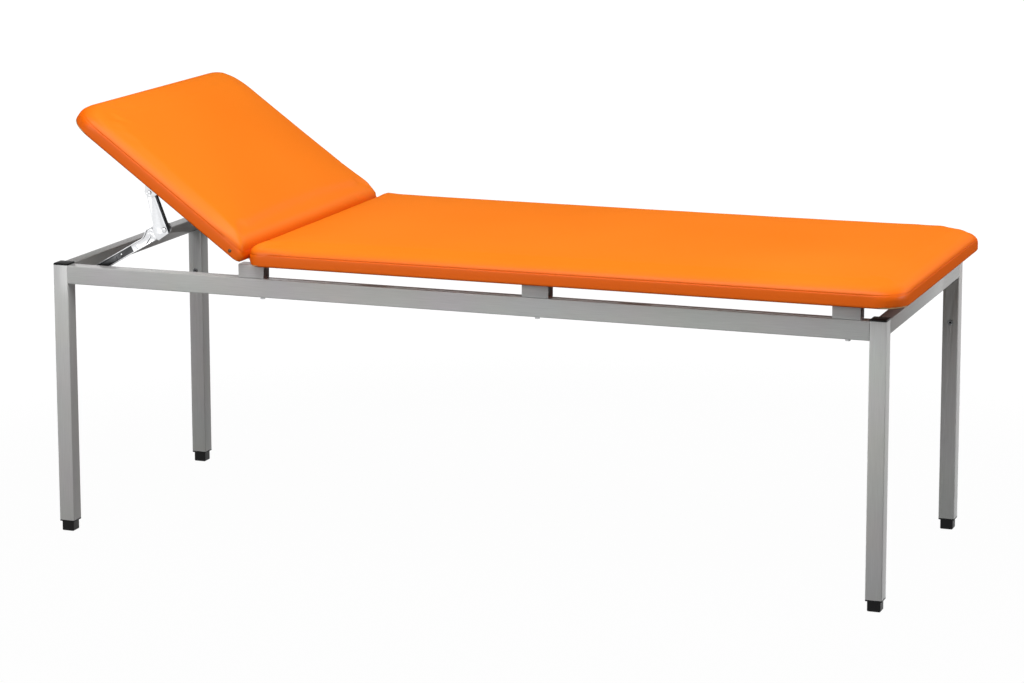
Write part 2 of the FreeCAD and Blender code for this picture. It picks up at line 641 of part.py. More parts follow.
def pawl():
    """Pawl drawn about its pin, nose down on the tips of the teeth."""
    corners = [(-5.5, 1, 3), (-4.5, -9, 6), (-1.5, -21.5, 1.5), (4.2, -19.2, 0.8), (3.2, -14, 3), (3.2, -8, 3),
               (5.3, -2, 2), (5.3, 1, 2)]
    blade = plate(corners, inner_layer(PAWL_LAYER)).fuse(disc(PAWL_BOSS_R, 0, 0, inner_layer(PAWL_LAYER)))
    low, high = inner_layer(PAWL_LAYER)
    return blade.cut(disc(PAWL_PIN_R + FIT, 0, 0, (low - 1, high + 1))).removeSplitter()


def pawl_pin():
    """Pin of the pawl, riveted into the web of the lower arm."""
    back = inner_layer(WEB_LAYER)[1]
    shank = disc(PAWL_PIN_R, 0, 0, (inner_layer(PAWL_LAYER)[0] - 0.1, back))
    return shank.fuse(disc(PAWL_PIN_TAIL_R, 0, 0, (back, back + PAWL_PIN_TAIL)))


def pawl_spring():
    """Leaf spring that presses the pawl: foot against the web, then a tongue bent up beside the pawl."""
    low, high = inner_layer(LEAF_SPRING_LAYER)
    pin_x = LOWER_ARM - PAWL_PIN_BACK
    floor = ARM_SHEET - LOWER_ARM_HALF + 0.1
    start, bend, tip = (Vector(pin_x - 52, floor, 0), Vector(pin_x - 26, floor, 0), Vector(pin_x - 5.9, 3.2, 0))
    slope = math.atan2(tip.y - bend.y, tip.x - bend.x)
    lift = LEAF_SPRING * math.tan(slope / 2)
    corners = [
        (start.x, floor, 0), (bend.x, floor, 12 + LEAF_SPRING), (tip.x, tip.y, 0),
        (tip.x - LEAF_SPRING * math.sin(slope), tip.y + LEAF_SPRING * math.cos(slope), 0),
        (bend.x - lift, floor + LEAF_SPRING, 12), (start.x, floor + LEAF_SPRING, 0),
    ]
    tab = box((start.x, start.x + 7), (high - LEAF_SPRING, inner_layer(WEB_LAYER)[0]), (floor, 2))
    return plate(corners, (low, high)).fuse(tab).removeSplitter()


def head_bracket():
    """Bracket under the flat headrest: base on the board, cheek down to the top pivot."""
    low, high = inner_layer(BRACKET_LAYER)
    x = STAY_TOP_FLAT.x
    z = STAY_TOP_FLAT.z
    half = BRACKET_HALF_LENGTH
    boss = BRACKET_BOSS_R
    cheek = plate([(x - half, PAD_BASE, 0), (x - boss, z - boss, boss - 0.01), (x + boss, z - boss, boss - 0.01),
                   (x + half, PAD_BASE, 0)], (low, high))
    base = box((x - half, x + half), (low, low + BRACKET_BASE_WIDTH), (PAD_BASE - BRACKET_BASE, PAD_BASE))
    bracket = cheek.fuse(base).removeSplitter()
    bracket = bracket.cut(disc(TOP_RIVET_R, x, z, (low - 1, high + 1)))
    for x_screw, y_screw in bracket_screw_places():
        bracket = bracket.cut(screw_hole(x_screw, y_screw, PAD_BASE - BRACKET_BASE, 1))
    return bracket


def bracket_screw_places():
    """Screw places (x, y) in the base of the front bracket."""
    y = inner_layer(BRACKET_LAYER)[0] + BRACKET_SCREW_IN
    return [(STAY_TOP_FLAT.x - BRACKET_SCREW_ALONG, y), (STAY_TOP_FLAT.x + BRACKET_SCREW_ALONG, y)]


def top_rivet_head():
    """Front half of the top rivet, in the bracket's cheek."""
    low, high = inner_layer(BRACKET_LAYER)
    x = STAY_TOP_FLAT.x
    z = STAY_TOP_FLAT.z
    head = disc(TOP_HEAD_R, x, z, (low - RIVET_HEAD, low))
    rim = [edge for edge in head.Edges if edge.BoundBox.YMax < low - RIVET_HEAD + 0.01]
    return head.makeChamfer(0.6, rim).fuse(disc(TOP_RIVET_R, x, z, (low, high + 0.4)))


def top_rivet_tail():
    """Rear half of the top rivet, in the upper arm's plate, drawn about the elbow."""
    low, high = inner_layer(UPPER_PLATE_LAYER)
    return disc(TOP_RIVET_R, 0, UPPER_ARM, (low, high)).fuse(
        disc(TOP_HEAD_R, 0, UPPER_ARM, (high, high + RIVET_HEAD)))


def side_stud():
    """Domed stud driven into the front edge of the flat head board."""
    face = FRONT - PAD_OVERHANG_SIDE
    centre = Vector(HINGE_X - STUD_ALONG, face, PAD_BASE + STUD_UP)
    radius = (STUD_R ** 2 + STUD_RISE ** 2) / (2 * STUD_RISE)
    ball = Part.makeSphere(radius, centre + Vector(0, radius - STUD_RISE, 0))
    dome = ball.common(rod(STUD_R, centre - Vector(0, 2 * STUD_RISE, 0), centre))
    return dome.fuse(rod(STUD_SHANK_R, centre, centre + Vector(0, STUD_SHANK, 0)))


def stud_hole():
    """Hole in cover, foam and board for the front stud's shank."""
    face = FRONT - PAD_OVERHANG_SIDE
    centre = Vector(HINGE_X - STUD_ALONG, face, PAD_BASE + STUD_UP)
    return rod(STUD_SHANK_R + FIT, centre - Vector(0, 1, 0), centre + Vector(0, STUD_SHANK + FIT, 0))


# Assembly

nodes = {}


def both_sides(name, shape, separate=True):
    """File a front piece and its rear copy, as two nodes or as one node of two solids."""
    if separate:
        nodes[name + "_front"] = shape
        nodes[name + "_rear"] = mirrored(shape)
    else:
        nodes[name] = group([shape])


def group(shapes):
    """Return one compound of front pieces and their rear copies."""
    return Part.makeCompound(list(shapes) + [mirrored(shape) for shape in shapes])


def build_frame():
    """File legs, rails, spacers, caps, feet and rivet nuts."""
    for end, x in LEG_X.items():
        both_sides("leg_" + end, leg(x))
        both_sides("leg_cap_" + end, leg_cap(x))
        both_sides("foot_" + end, foot(x))
    both_sides("side_rail", side_rail())
    nodes["end_rail_head"] = end_rail(HEAD_END, 1)
    nodes["end_rail_foot"] = end_rail(FOOT_END, -1)
    for end in SPACER_X:
        both_sides("pad_spacer_" + end, spacer(end))
    nodes["rivet_nuts"] = group([rivet_nut(x) for x in LEG_X.values()])


def build_pads():
    """File both pads with their bolts, tee nuts and studs."""
    body_holes = [tee_nut_seat(x) for x in BOLT_X.values()] + hinge_screws(1, screw_hole)
    body_holes += [mirrored(hole) for hole in body_holes]
    board, foam, cover = pad_pieces(pad_profile_body(), (PAD_JOINT_CORNER, PAD_CORNER),
                                    (HINGE_X + BOARD_TO_HINGE, BODY_PAD_END), body_holes)
    nodes["body_board"] = board
    nodes["body_foam"] = foam
    nodes["body_cover"] = cover
    nodes["pad_bolts"] = group([pad_bolt(x) for x in BOLT_X.values()])
    nodes["tee_nuts"] = group([tee_nut(x) for x in BOLT_X.values()])
    head_holes = hinge_screws(-1, screw_hole) + [stud_hole()]
    head_holes += [screw_hole(x, y, PAD_BASE - BRACKET_BASE, 1) for x, y in bracket_screw_places()]
    head_holes += [mirrored(hole) for hole in head_holes]
    board, foam, cover = pad_pieces(pad_profile_head(), (PAD_CORNER, PAD_JOINT_CORNER),
                                    (HEAD_PAD_START, HINGE_X - BOARD_TO_HINGE), head_holes)
    nodes["head_board"] = raised(board)
    nodes["head_foam"] = raised(foam.cut(Part.makeCompound([stud_hole(), mirrored(stud_hole())])))
    nodes["head_cover"] = raised(cover)
    nodes["side_studs"] = raised(group([side_stud()]))


def build_hinges():
    """File both hinges."""
    nodes["hinge_leaf_body"] = group([hinge_leaf(1)])
    nodes["hinge_leaf_head"] = raised(group([hinge_leaf(-1)]))
    nodes["hinge_pins"] = group([hinge_pin()])
    nodes["hinge_screws_body"] = group(hinge_screws(1, screw))
    nodes["hinge_screws_head"] = raised(group(hinge_screws(-1, screw)))


def build_stays():
    """File the front stay and its mirrored copy at the rear."""
    pin = Vector(LOWER_ARM - PAWL_PIN_BACK, 0, PAWL_PIN_UP)
    both_sides("stay_stud", set_down(stay_stud(), STAY_FOOT, 0))
    both_sides("lower_arm", set_down(lower_arm(), STAY_FOOT, LOWER_TURN))
    both_sides("elbow_rivet", set_down(elbow_rivet(), STAY_ELBOW, 0))
    both_sides("upper_arm", set_down(upper_arm(), STAY_ELBOW, UPPER_TURN))
    both_sides("ratchet_plate", set_down(ratchet_plate(), STAY_ELBOW, UPPER_TURN))
    both_sides("top_rivet_tail", set_down(top_rivet_tail(), STAY_ELBOW, UPPER_TURN))
    for name, shape in (("pawl", pawl()), ("pawl_pin", pawl_pin())):
        shape.translate(pin)
        both_sides(name, set_down(shape, STAY_FOOT, LOWER_TURN))
    both_sides("pawl_spring", set_down(pawl_spring(), STAY_FOOT, LOWER_TURN))
    both_sides("head_bracket", raised(head_bracket()))
    nodes["top_rivet_heads"] = raised(group([top_rivet_head()]))
    screws = [screw(x, y, PAD_BASE - BRACKET_BASE, 1) for x, y in bracket_screw_places()]
    nodes["bracket_screws"] = raised(group(screws))


build_frame()
build_pads()
build_hinges()
build_stays()
for name, shape in nodes.items():
    shape.exportStep("parts/" + name + ".step")
print("nodes", len(nodes))
print("hinge", HINGE_X, HINGE_Z)
print("stay foot", STAY_FOOT, "elbow", STAY_ELBOW, "top", STAY_TOP)
print("turns", LOWER_TURN, UPPER_TURN)
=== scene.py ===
"""Examination table in a plain studio: upholstery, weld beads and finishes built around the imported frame."""

from __future__ import annotations

import json
import logging
import math
from dataclasses import dataclass, field
from enum import Enum
from typing import Any, Callable, Iterable

import bpy
from mathutils import Matrix, Vector, noise

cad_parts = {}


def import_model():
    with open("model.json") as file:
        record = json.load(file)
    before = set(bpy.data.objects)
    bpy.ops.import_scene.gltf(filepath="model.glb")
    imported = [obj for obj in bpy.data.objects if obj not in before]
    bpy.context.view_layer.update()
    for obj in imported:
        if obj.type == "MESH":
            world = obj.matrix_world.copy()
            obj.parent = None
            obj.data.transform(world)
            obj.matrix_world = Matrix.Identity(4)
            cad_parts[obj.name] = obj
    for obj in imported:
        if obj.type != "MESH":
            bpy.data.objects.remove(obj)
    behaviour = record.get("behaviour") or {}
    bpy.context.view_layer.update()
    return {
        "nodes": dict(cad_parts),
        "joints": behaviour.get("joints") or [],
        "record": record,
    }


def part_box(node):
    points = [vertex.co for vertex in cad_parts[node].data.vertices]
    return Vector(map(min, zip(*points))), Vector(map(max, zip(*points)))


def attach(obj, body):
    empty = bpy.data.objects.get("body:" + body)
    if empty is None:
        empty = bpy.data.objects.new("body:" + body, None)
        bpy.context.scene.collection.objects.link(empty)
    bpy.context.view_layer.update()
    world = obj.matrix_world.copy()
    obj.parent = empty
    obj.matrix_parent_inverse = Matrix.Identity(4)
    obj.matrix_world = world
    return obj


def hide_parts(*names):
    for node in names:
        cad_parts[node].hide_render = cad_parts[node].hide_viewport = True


LOG = logging.getLogger("examination_table")
MM = 0.001


class Body(Enum):
    """Moving bodies of the table that new pieces ride on."""

    TABLE = "table"
    HEADREST = "head_section"
    LOWER_ARM_FRONT = "lower_arm_front"
    LOWER_ARM_REAR = "lower_arm_rear"
    UPPER_ARM_FRONT = "upper_arm_front"
    UPPER_ARM_REAR = "upper_arm_rear"
    PAWL_FRONT = "pawl_front"
    PAWL_REAR = "pawl_rear"


class Grain(Enum):
    """Direction in which a tube was drawn and ground, as scales of its scratches along X, Y and Z."""

    ALONG_X = (0.02, 1.0, 1.0)
    ALONG_Y = (1.0, 0.02, 1.0)
    ALONG_Z = (1.0, 1.0, 0.02)


# Shared small tools


def linear(hex_colour: str) -> tuple[float, float, float, float]:
    """Turn an sRGB hex colour into a linear one.

    Args:
        hex_colour: six hex digits, such as "F97F20".

    Returns:
        Linear red, green and blue with full alpha.
    """
    channels = [int(hex_colour[index:index + 2], 16) / 255 for index in (0, 2, 4)]
    red, green, blue = (value / 12.92 if value <= 0.04045 else ((value + 0.055) / 1.055) ** 2.4 for value in channels)
    return red, green, blue, 1.0


def ramp(value: float, none: float, full: float) -> float:
    """Return 0 at none and before it, 1 at full and past it, and a straight run between."""
    return max(0.0, min(1.0, (value - none) / (full - none)))


def add_node(tree: bpy.types.NodeTree, kind: str, settings: dict[Any, Any] | None = None,
             links: dict[Any, bpy.types.NodeSocket] | None = None) -> bpy.types.Node:
    """Add a shader node with its settings and links.

    Args:
        tree: node tree that gets the node.
        kind: Blender's name of the node type.
        settings: properties of the node by name, and values of its inputs by name or index.
        links: output sockets that feed its inputs, by name or index.

    Returns:
        The new node.
    """
    node = tree.nodes.new(kind)
    for key, value in (settings or {}).items():
        if isinstance(key, str) and hasattr(node, key):
            setattr(node, key, value)
        else:
            node.inputs[key].default_value = value
    for key, socket in (links or {}).items():
        tree.links.new(socket, node.inputs[key])
    return node


def set_inputs(shader: bpy.types.Node, values: dict[str, float]) -> None:
    """Set numbers on a shader's own sockets, by name."""
    for name, value in values.items():
        shader.inputs[name].default_value = value


def new_tree(owner: bpy.types.Material | bpy.types.World) -> bpy.types.NodeTree:
    """Return a material's or world's node tree, switched on and empty."""
    owner.use_nodes = True
    owner.node_tree.nodes.clear()
    return owner.node_tree


def select_only(piece: bpy.types.Object) -> None:
    """Make a piece the only selected and the active object."""
    bpy.ops.object.select_all(action="DESELECT")
    piece.select_set(True)
    bpy.context.view_layer.objects.active = piece


def in_edit_mode(piece: bpy.types.Object, work: Callable[[], None]) -> None:
    """Run work on a piece in edit mode, with everything in it selected at first."""
    select_only(piece)
    bpy.ops.object.mode_set(mode="EDIT")
    bpy.ops.mesh.select_mode(type="VERT")
    bpy.ops.mesh.select_all(action="SELECT")
    work()
    bpy.ops.object.mode_set(mode="OBJECT")


def select_faces(piece: bpy.types.Object, wanted: Callable[[bpy.types.MeshPolygon], bool]) -> None:
    """Select the faces that a test wants, and nothing else; used from edit mode and left in edit mode.

    Args:
        piece: the piece in edit mode.
        wanted: test that gets each polygon.
    """
    bpy.ops.mesh.select_mode(type="FACE")
    bpy.ops.mesh.select_all(action="DESELECT")
    bpy.ops.object.mode_set(mode="OBJECT")
    for polygon in piece.data.polygons:
        polygon.select = wanted(polygon)
    bpy.ops.object.mode_set(mode="EDIT")


def apply_modifier(piece: bpy.types.Object, kind: str, **settings: Any) -> None:
    """Add a modifier with its settings to a piece and apply it."""
    select_only(piece)
    modifier = piece.modifiers.new(kind.lower(), kind)
    for key, value in settings.items():
        setattr(modifier, key, value)
    bpy.ops.object.modifier_apply(modifier=modifier.name)


def apply_place(piece: bpy.types.Object) -> None:
    """Move a piece's place, turn and scale into its mesh."""
    select_only(piece)
    bpy.ops.object.transform_apply(location=True, rotation=True, scale=True)


def turned(piece: bpy.types.Object, matrix: Matrix) -> None:
    """Turn a piece's mesh by a matrix."""
    piece.data.transform(matrix)
    piece.data.update()


def shade(piece: bpy.types.Object, degrees: float) -> None:
    """Shade a piece smooth, apart from edges sharper than an angle."""
    select_only(piece)
    bpy.ops.object.shade_smooth_by_angle(angle=math.radians(degrees))


def dress(piece: bpy.types.Object, material: bpy.types.Material) -> None:
    """Give a piece its only material."""
    piece.data.materials.clear()
    piece.data.materials.append(material)


def copy_of(node: bpy.types.Object, name: str) -> bpy.types.Object:
    """Return a new piece with a merged copy of a CAD node's mesh.

    Args:
        node: the CAD node.
        name: name of the new piece.

    Returns:
        The piece, with its doubled points merged and flat areas made one face.
    """
    piece = bpy.data.objects.new(name, node.data.copy())
    bpy.context.scene.collection.objects.link(piece)

    def merge() -> None:
        """Merge doubled points and dissolve the edges within flat areas."""
        bpy.ops.mesh.remove_doubles(threshold=0.02 * MM)
        bpy.ops.mesh.dissolve_limited(angle_limit=math.radians(0.4))

    in_edit_mode(piece, merge)
    return piece


def joined(pieces: list[bpy.types.Object], name: str) -> bpy.types.Object:
    """Join pieces into the first one and give it a name."""
    select_only(pieces[0])
    for piece in pieces:
        piece.select_set(True)
    bpy.ops.object.join()
    pieces[0].name = name
    return pieces[0]


def repeated(model: bpy.types.Object, places: Iterable[Matrix], name: str) -> bpy.types.Object:
    """Copy a small model to many places and join the copies into one piece.

    Args:
        model: the model at the origin, used up by this.
        places: matrices of the copies.
        name: name of the joined piece.

    Returns:
        The joined piece.
    """
    copies = []
    for place in places:
        copy = bpy.data.objects.new(name, model.data.copy())
        bpy.context.scene.collection.objects.link(copy)
        turned(copy, place)
        copies.append(copy)
    bpy.data.objects.remove(model)
    return joined(copies, name)


# Finishes


@dataclass(frozen=True)
class Finish:
    """A finish: its name, and a method that builds its shader around a Principled BSDF."""

    name: str

    def material(self) -> bpy.types.Material:
        """Return the finish as a material."""
        made = bpy.data.materials.new(self.name)
        tree = new_tree(made)
        shader = add_node(tree, "ShaderNodeBsdfPrincipled")
        add_node(tree, "ShaderNodeOutputMaterial", links={"Surface": shader.outputs["BSDF"]})
        self.mix(tree, shader, add_node(tree, "ShaderNodeTexCoord").outputs["Object"])
        return made

    def mix(self, tree: bpy.types.NodeTree, shader: bpy.types.Node, place: bpy.types.NodeSocket) -> None:
        """Set the shader's values and feed its patterns; place gives Object coordinates in metres."""
        raise NotImplementedError

    def mottle(self, tree: bpy.types.NodeTree, place: bpy.types.NodeSocket, size_mm: float,
               detail: float, distortion: float = 0.0) -> bpy.types.Node:
        """Return a noise texture with features of about a size in millimetres."""
        return add_node(tree, "ShaderNodeTexNoise",
                        {"Scale": 1 / (size_mm * MM), "Detail": detail, "Distortion": distortion}, {"Vector": place})

    def tinted(self, tree: bpy.types.NodeTree, pattern: bpy.types.NodeSocket, dark: str, light: str,
               low: float = 0.3, high: float = 0.7) -> bpy.types.NodeSocket:
        """Return a colour that runs from dark to light as a pattern goes from low to high."""
        tint = add_node(tree, "ShaderNodeValToRGB", links={"Fac": pattern})
        for stop, position, colour in zip(tint.color_ramp.elements, (low, high), (dark, light)):
            stop.position = position
            stop.color = linear(colour)
        return tint.outputs["Color"]

    def spread(self, tree: bpy.types.NodeTree, pattern: bpy.types.NodeSocket, low: float,
               high: float) -> bpy.types.NodeSocket:
        """Return a pattern of 0.3 to 0.7 spread between two values."""
        spread = add_node(tree, "ShaderNodeMapRange",
                          {"From Min": 0.3, "From Max": 0.7, "To Min": low, "To Max": high}, {"Value": pattern})
        return spread.outputs["Result"]

    def relief(self, tree: bpy.types.NodeTree, pattern: bpy.types.NodeSocket, depth_mm: float,
               below: bpy.types.NodeSocket | None = None) -> bpy.types.NodeSocket:
        """Return a normal that shows a pattern as relief of a depth in millimetres."""
        links = {"Height": pattern}
        if below is not None:
            links["Normal"] = below
        bump = add_node(tree, "ShaderNodeBump", {"Strength": 1.0, "Distance": depth_mm * MM}, links)
        return bump.outputs["Normal"]


@dataclass(frozen=True)
class SatinTube(Finish):
    """Square steel tube, ground along its length and clear coated: soft grey gloss with fine lengthwise lines."""

    grain: Grain = Grain.ALONG_X
    dark: str = "C6C6C4"
    light: str = "D0D0CE"
    line_mm: float = 1.1

    def mix(self, tree: bpy.types.NodeTree, shader: bpy.types.Node, place: bpy.types.NodeSocket) -> None:
        """Long scratches in roughness and colour, and a slow cloudiness of the coat."""
        stretched = add_node(tree, "ShaderNodeMapping", {"Scale": self.grain.value}, {"Vector": place})
        lines = self.mottle(tree, stretched.outputs["Vector"], self.line_mm, 3.0)
        clouds = self.mottle(tree, place, 180, 2.0)
        colour = self.tinted(tree, lines.outputs["Fac"], self.dark, self.light)
        clouded = add_node(tree, "ShaderNodeMix", {"data_type": "RGBA", "blend_type": "MULTIPLY", 0: 0.12},
                           {6: colour, 7: clouds.outputs["Color"]})
        tree.links.new(clouded.outputs[2], shader.inputs["Base Color"])
        tree.links.new(self.spread(tree, lines.outputs["Fac"], 0.36, 0.48), shader.inputs["Roughness"])
        tree.links.new(self.relief(tree, lines.outputs["Fac"], 0.012), shader.inputs["Normal"])
        # The clear coat mirrors the white room faintly; the ground steel below it is matt and even.
        set_inputs(shader, {"Metallic": 0.05, "Specular IOR Level": 0.0, "Coat Weight": 0.6, "Coat Roughness": 0.1})


@dataclass(frozen=True)
class Vinyl(Finish):
    """Calendered upholstery vinyl over foam: warm orange with a fine pebble grain, and painted shade that makes the
    side band a deeper orange.

    It reads the height over a pad's base from the point attribute pad_height.
    """

    pebble_mm: float = 1.3
    shaded_side_to: float = 24 * MM
    top_from: float = 42 * MM

    def mix(self, tree: bpy.types.NodeTree, shader: bpy.types.Node, place: bpy.types.NodeSocket) -> None:
        """Pebbles in relief, drawn a little coarser than real so that they show close by, and soft handling marks."""
        pebbles = add_node(tree, "ShaderNodeTexVoronoi",
                           {"feature": "SMOOTH_F1", "Scale": 1 / (self.pebble_mm * MM), "Smoothness": 0.6},
                           {"Vector": place})
        pull = self.mottle(tree, place, 50, 3.0)
        broad = self.mottle(tree, place, 400, 1.0)
        height = add_node(tree, "ShaderNodeAttribute", {"attribute_name": "pad_height"})
        side_shade_blend = add_node(tree, "ShaderNodeMapRange",
                               {"interpolation_type": "SMOOTHSTEP", "From Min": self.shaded_side_to,
                                "From Max": self.top_from}, {"Value": height.outputs["Fac"]})
        # Painted shade: below the seam the side band gets a deeper orange than the top, standing in for the shade on
        # the pad's sides.
        colour = add_node(tree, "ShaderNodeMix", {"data_type": "RGBA"},
                          {0: side_shade_blend.outputs["Result"],
                           6: self.tinted(tree, broad.outputs["Fac"], "EF6603", "F36A05"),
                           7: self.tinted(tree, broad.outputs["Fac"], "F37C16", "F7821C")})
        tree.links.new(colour.outputs[2], shader.inputs["Base Color"])
        tree.links.new(self.spread(tree, pull.outputs["Fac"], 0.46, 0.54), shader.inputs["Roughness"])
        soft = self.relief(tree, pull.outputs["Fac"], 0.25)
        grain = self.relief(tree, pebbles.outputs["Distance"], 0.07, soft)
        tree.links.new(grain, shader.inputs["Normal"])
        tree.links.new(grain, shader.inputs["Coat Normal"])
        # A thin coat of high index gives a soft sheen that stays faint at a low angle, as grained vinyl does.
        set_inputs(shader, {"Specular IOR Level": 0.0, "Coat Weight": 0.05, "Coat Roughness": 0.4, "Coat IOR": 4.0})


@dataclass(frozen=True)
class MouldedPlastic(Finish):
    """Injection moulded polyethylene: near black with the fine spark-eroded texture of its mould."""

    def mix(self, tree: bpy.types.NodeTree, shader: bpy.types.Node, place: bpy.types.NodeSocket) -> None:
        """Fine even relief and a slight change of gloss."""
        spark = self.mottle(tree, place, 0.6, 2.0)
        tree.links.new(self.tinted(tree, spark.outputs["Fac"], "0C0C0D", "161617"), shader.inputs["Base Color"])
        tree.links.new(self.spread(tree, spark.outputs["Fac"], 0.38, 0.5), shader.inputs["Roughness"])
        tree.links.new(self.relief(tree, spark.outputs["Fac"], 0.05), shader.inputs["Normal"])
        set_inputs(shader, {"IOR": 1.51, "Specular IOR Level": 0.15})


@dataclass(frozen=True)
class PlatedSteel(Finish):
    """Pressed or turned steel with zinc or chrome plate: bright, with faint rolling marks under the plate."""

    dark: str = "C8C9CA"
    light: str = "E2E3E4"
    smooth: float = 0.16
    rough: float = 0.28
    relief_mm: float = 0.002

    def mix(self, tree: bpy.types.NodeTree, shader: bpy.types.Node, place: bpy.types.NodeSocket) -> None:
        """Small cloudy spots and hairlines in tint and gloss."""
        spots = self.mottle(tree, place, 4, 4.0)
        tree.links.new(self.tinted(tree, spots.outputs["Fac"], self.dark, self.light), shader.inputs["Base Color"])
        tree.links.new(self.spread(tree, spots.outputs["Fac"], self.smooth, self.rough), shader.inputs["Roughness"])
        tree.links.new(self.relief(tree, spots.outputs["Fac"], self.relief_mm), shader.inputs["Normal"])
        set_inputs(shader, {"Metallic": 1.0})


@dataclass(frozen=True)
class PressedSheet(PlatedSteel):
    """Chromed sheet: bright faces, and a dark colour where a face attribute is 1: painted shade on edges, folds and
    inside the channel.
    """

    # Colour of the painted shade on edges, folds and inside the channel.
    edge: str = "262729"
    relief_mm: float = 0.0005

    def mix(self, tree: bpy.types.NodeTree, shader: bpy.types.Node, place: bpy.types.NodeSocket) -> None:
        """Plated steel that goes over to the dark painted-shade colour where the face attribute is 1."""
        super().mix(tree, shader, place)
        bright = shader.inputs["Base Color"].links[0].from_socket
        dark_zinc_and_painted_shade = add_node(tree, "ShaderNodeAttribute", {"attribute_name": "dark_zinc_and_painted_shade"})
        toned = add_node(tree, "ShaderNodeMix", {"data_type": "RGBA", 7: linear(self.edge)},
                         {0: dark_zinc_and_painted_shade.outputs["Fac"], 6: bright})
        tree.links.new(toned.outputs[2], shader.inputs["Base Color"])


@dataclass(frozen=True)
class Plywood(Finish):
    """Birch plywood, sanded and left raw: pale face veneer with long brown grain."""

    def mix(self, tree: bpy.types.NodeTree, shader: bpy.types.Node, place: bpy.types.NodeSocket) -> None:
        """Grain 4 mm wide that runs along the board, and pores in fine relief."""
        long_way = add_node(tree, "ShaderNodeMapping", {"Scale": (0.06, 1.0, 1.0)}, {"Vector": place})
        grain = self.mottle(tree, long_way.outputs["Vector"], 12, 6.0, 0.6)
        tree.links.new(self.tinted(tree, grain.outputs["Fac"], "A98458", "CDAE82"), shader.inputs["Base Color"])
        tree.links.new(self.relief(tree, grain.outputs["Fac"], 0.15), shader.inputs["Normal"])
        set_inputs(shader, {"Roughness": 0.62})


@dataclass(frozen=True)
class StudioFloor(Finish):
    """Painted studio floor that shows as the white background and keeps soft shadows."""

    paint: str = "565656"
    glow: float = 0.925
    brightness: float = 1.06
    near: float = 1.2
    far: float = 3.2

    def material(self) -> bpy.types.Material:
        """Return matt paint, mixed with plain white for rays from camera and gloss, all of it from a way off."""
        made = bpy.data.materials.new(self.name)
        tree = new_tree(made)
        paint = add_node(tree, "ShaderNodeBsdfDiffuse", {"Color": linear(self.paint)})
        white = add_node(tree, "ShaderNodeEmission", {"Strength": self.brightness})
        rays = add_node(tree, "ShaderNodeLightPath")
        seen = add_node(tree, "ShaderNodeMath", {"operation": "MAXIMUM"},
                        {0: rays.outputs["Is Camera Ray"], 1: rays.outputs["Is Glossy Ray"]})
        place = add_node(tree, "ShaderNodeTexCoord").outputs["Object"]
        away = add_node(tree, "ShaderNodeVectorMath", {"operation": "LENGTH"}, {0: place})
        near_or_far = add_node(tree, "ShaderNodeMapRange",
                               {"interpolation_type": "SMOOTHSTEP", "From Min": self.near, "From Max": self.far,
                                "To Min": self.glow, "To Max": 1.0}, {"Value": away.outputs["Value"]})
        share = add_node(tree, "ShaderNodeMath", {"operation": "MULTIPLY"},
                         {0: seen.outputs[0], 1: near_or_far.outputs["Result"]})
        blend = add_node(tree, "ShaderNodeMixShader",
                         links={0: share.outputs[0], 1: paint.outputs[0], 2: white.outputs[0]})
        add_node(tree, "ShaderNodeOutputMaterial", links={"Surface": blend.outputs[0]})
        return made


# Pads


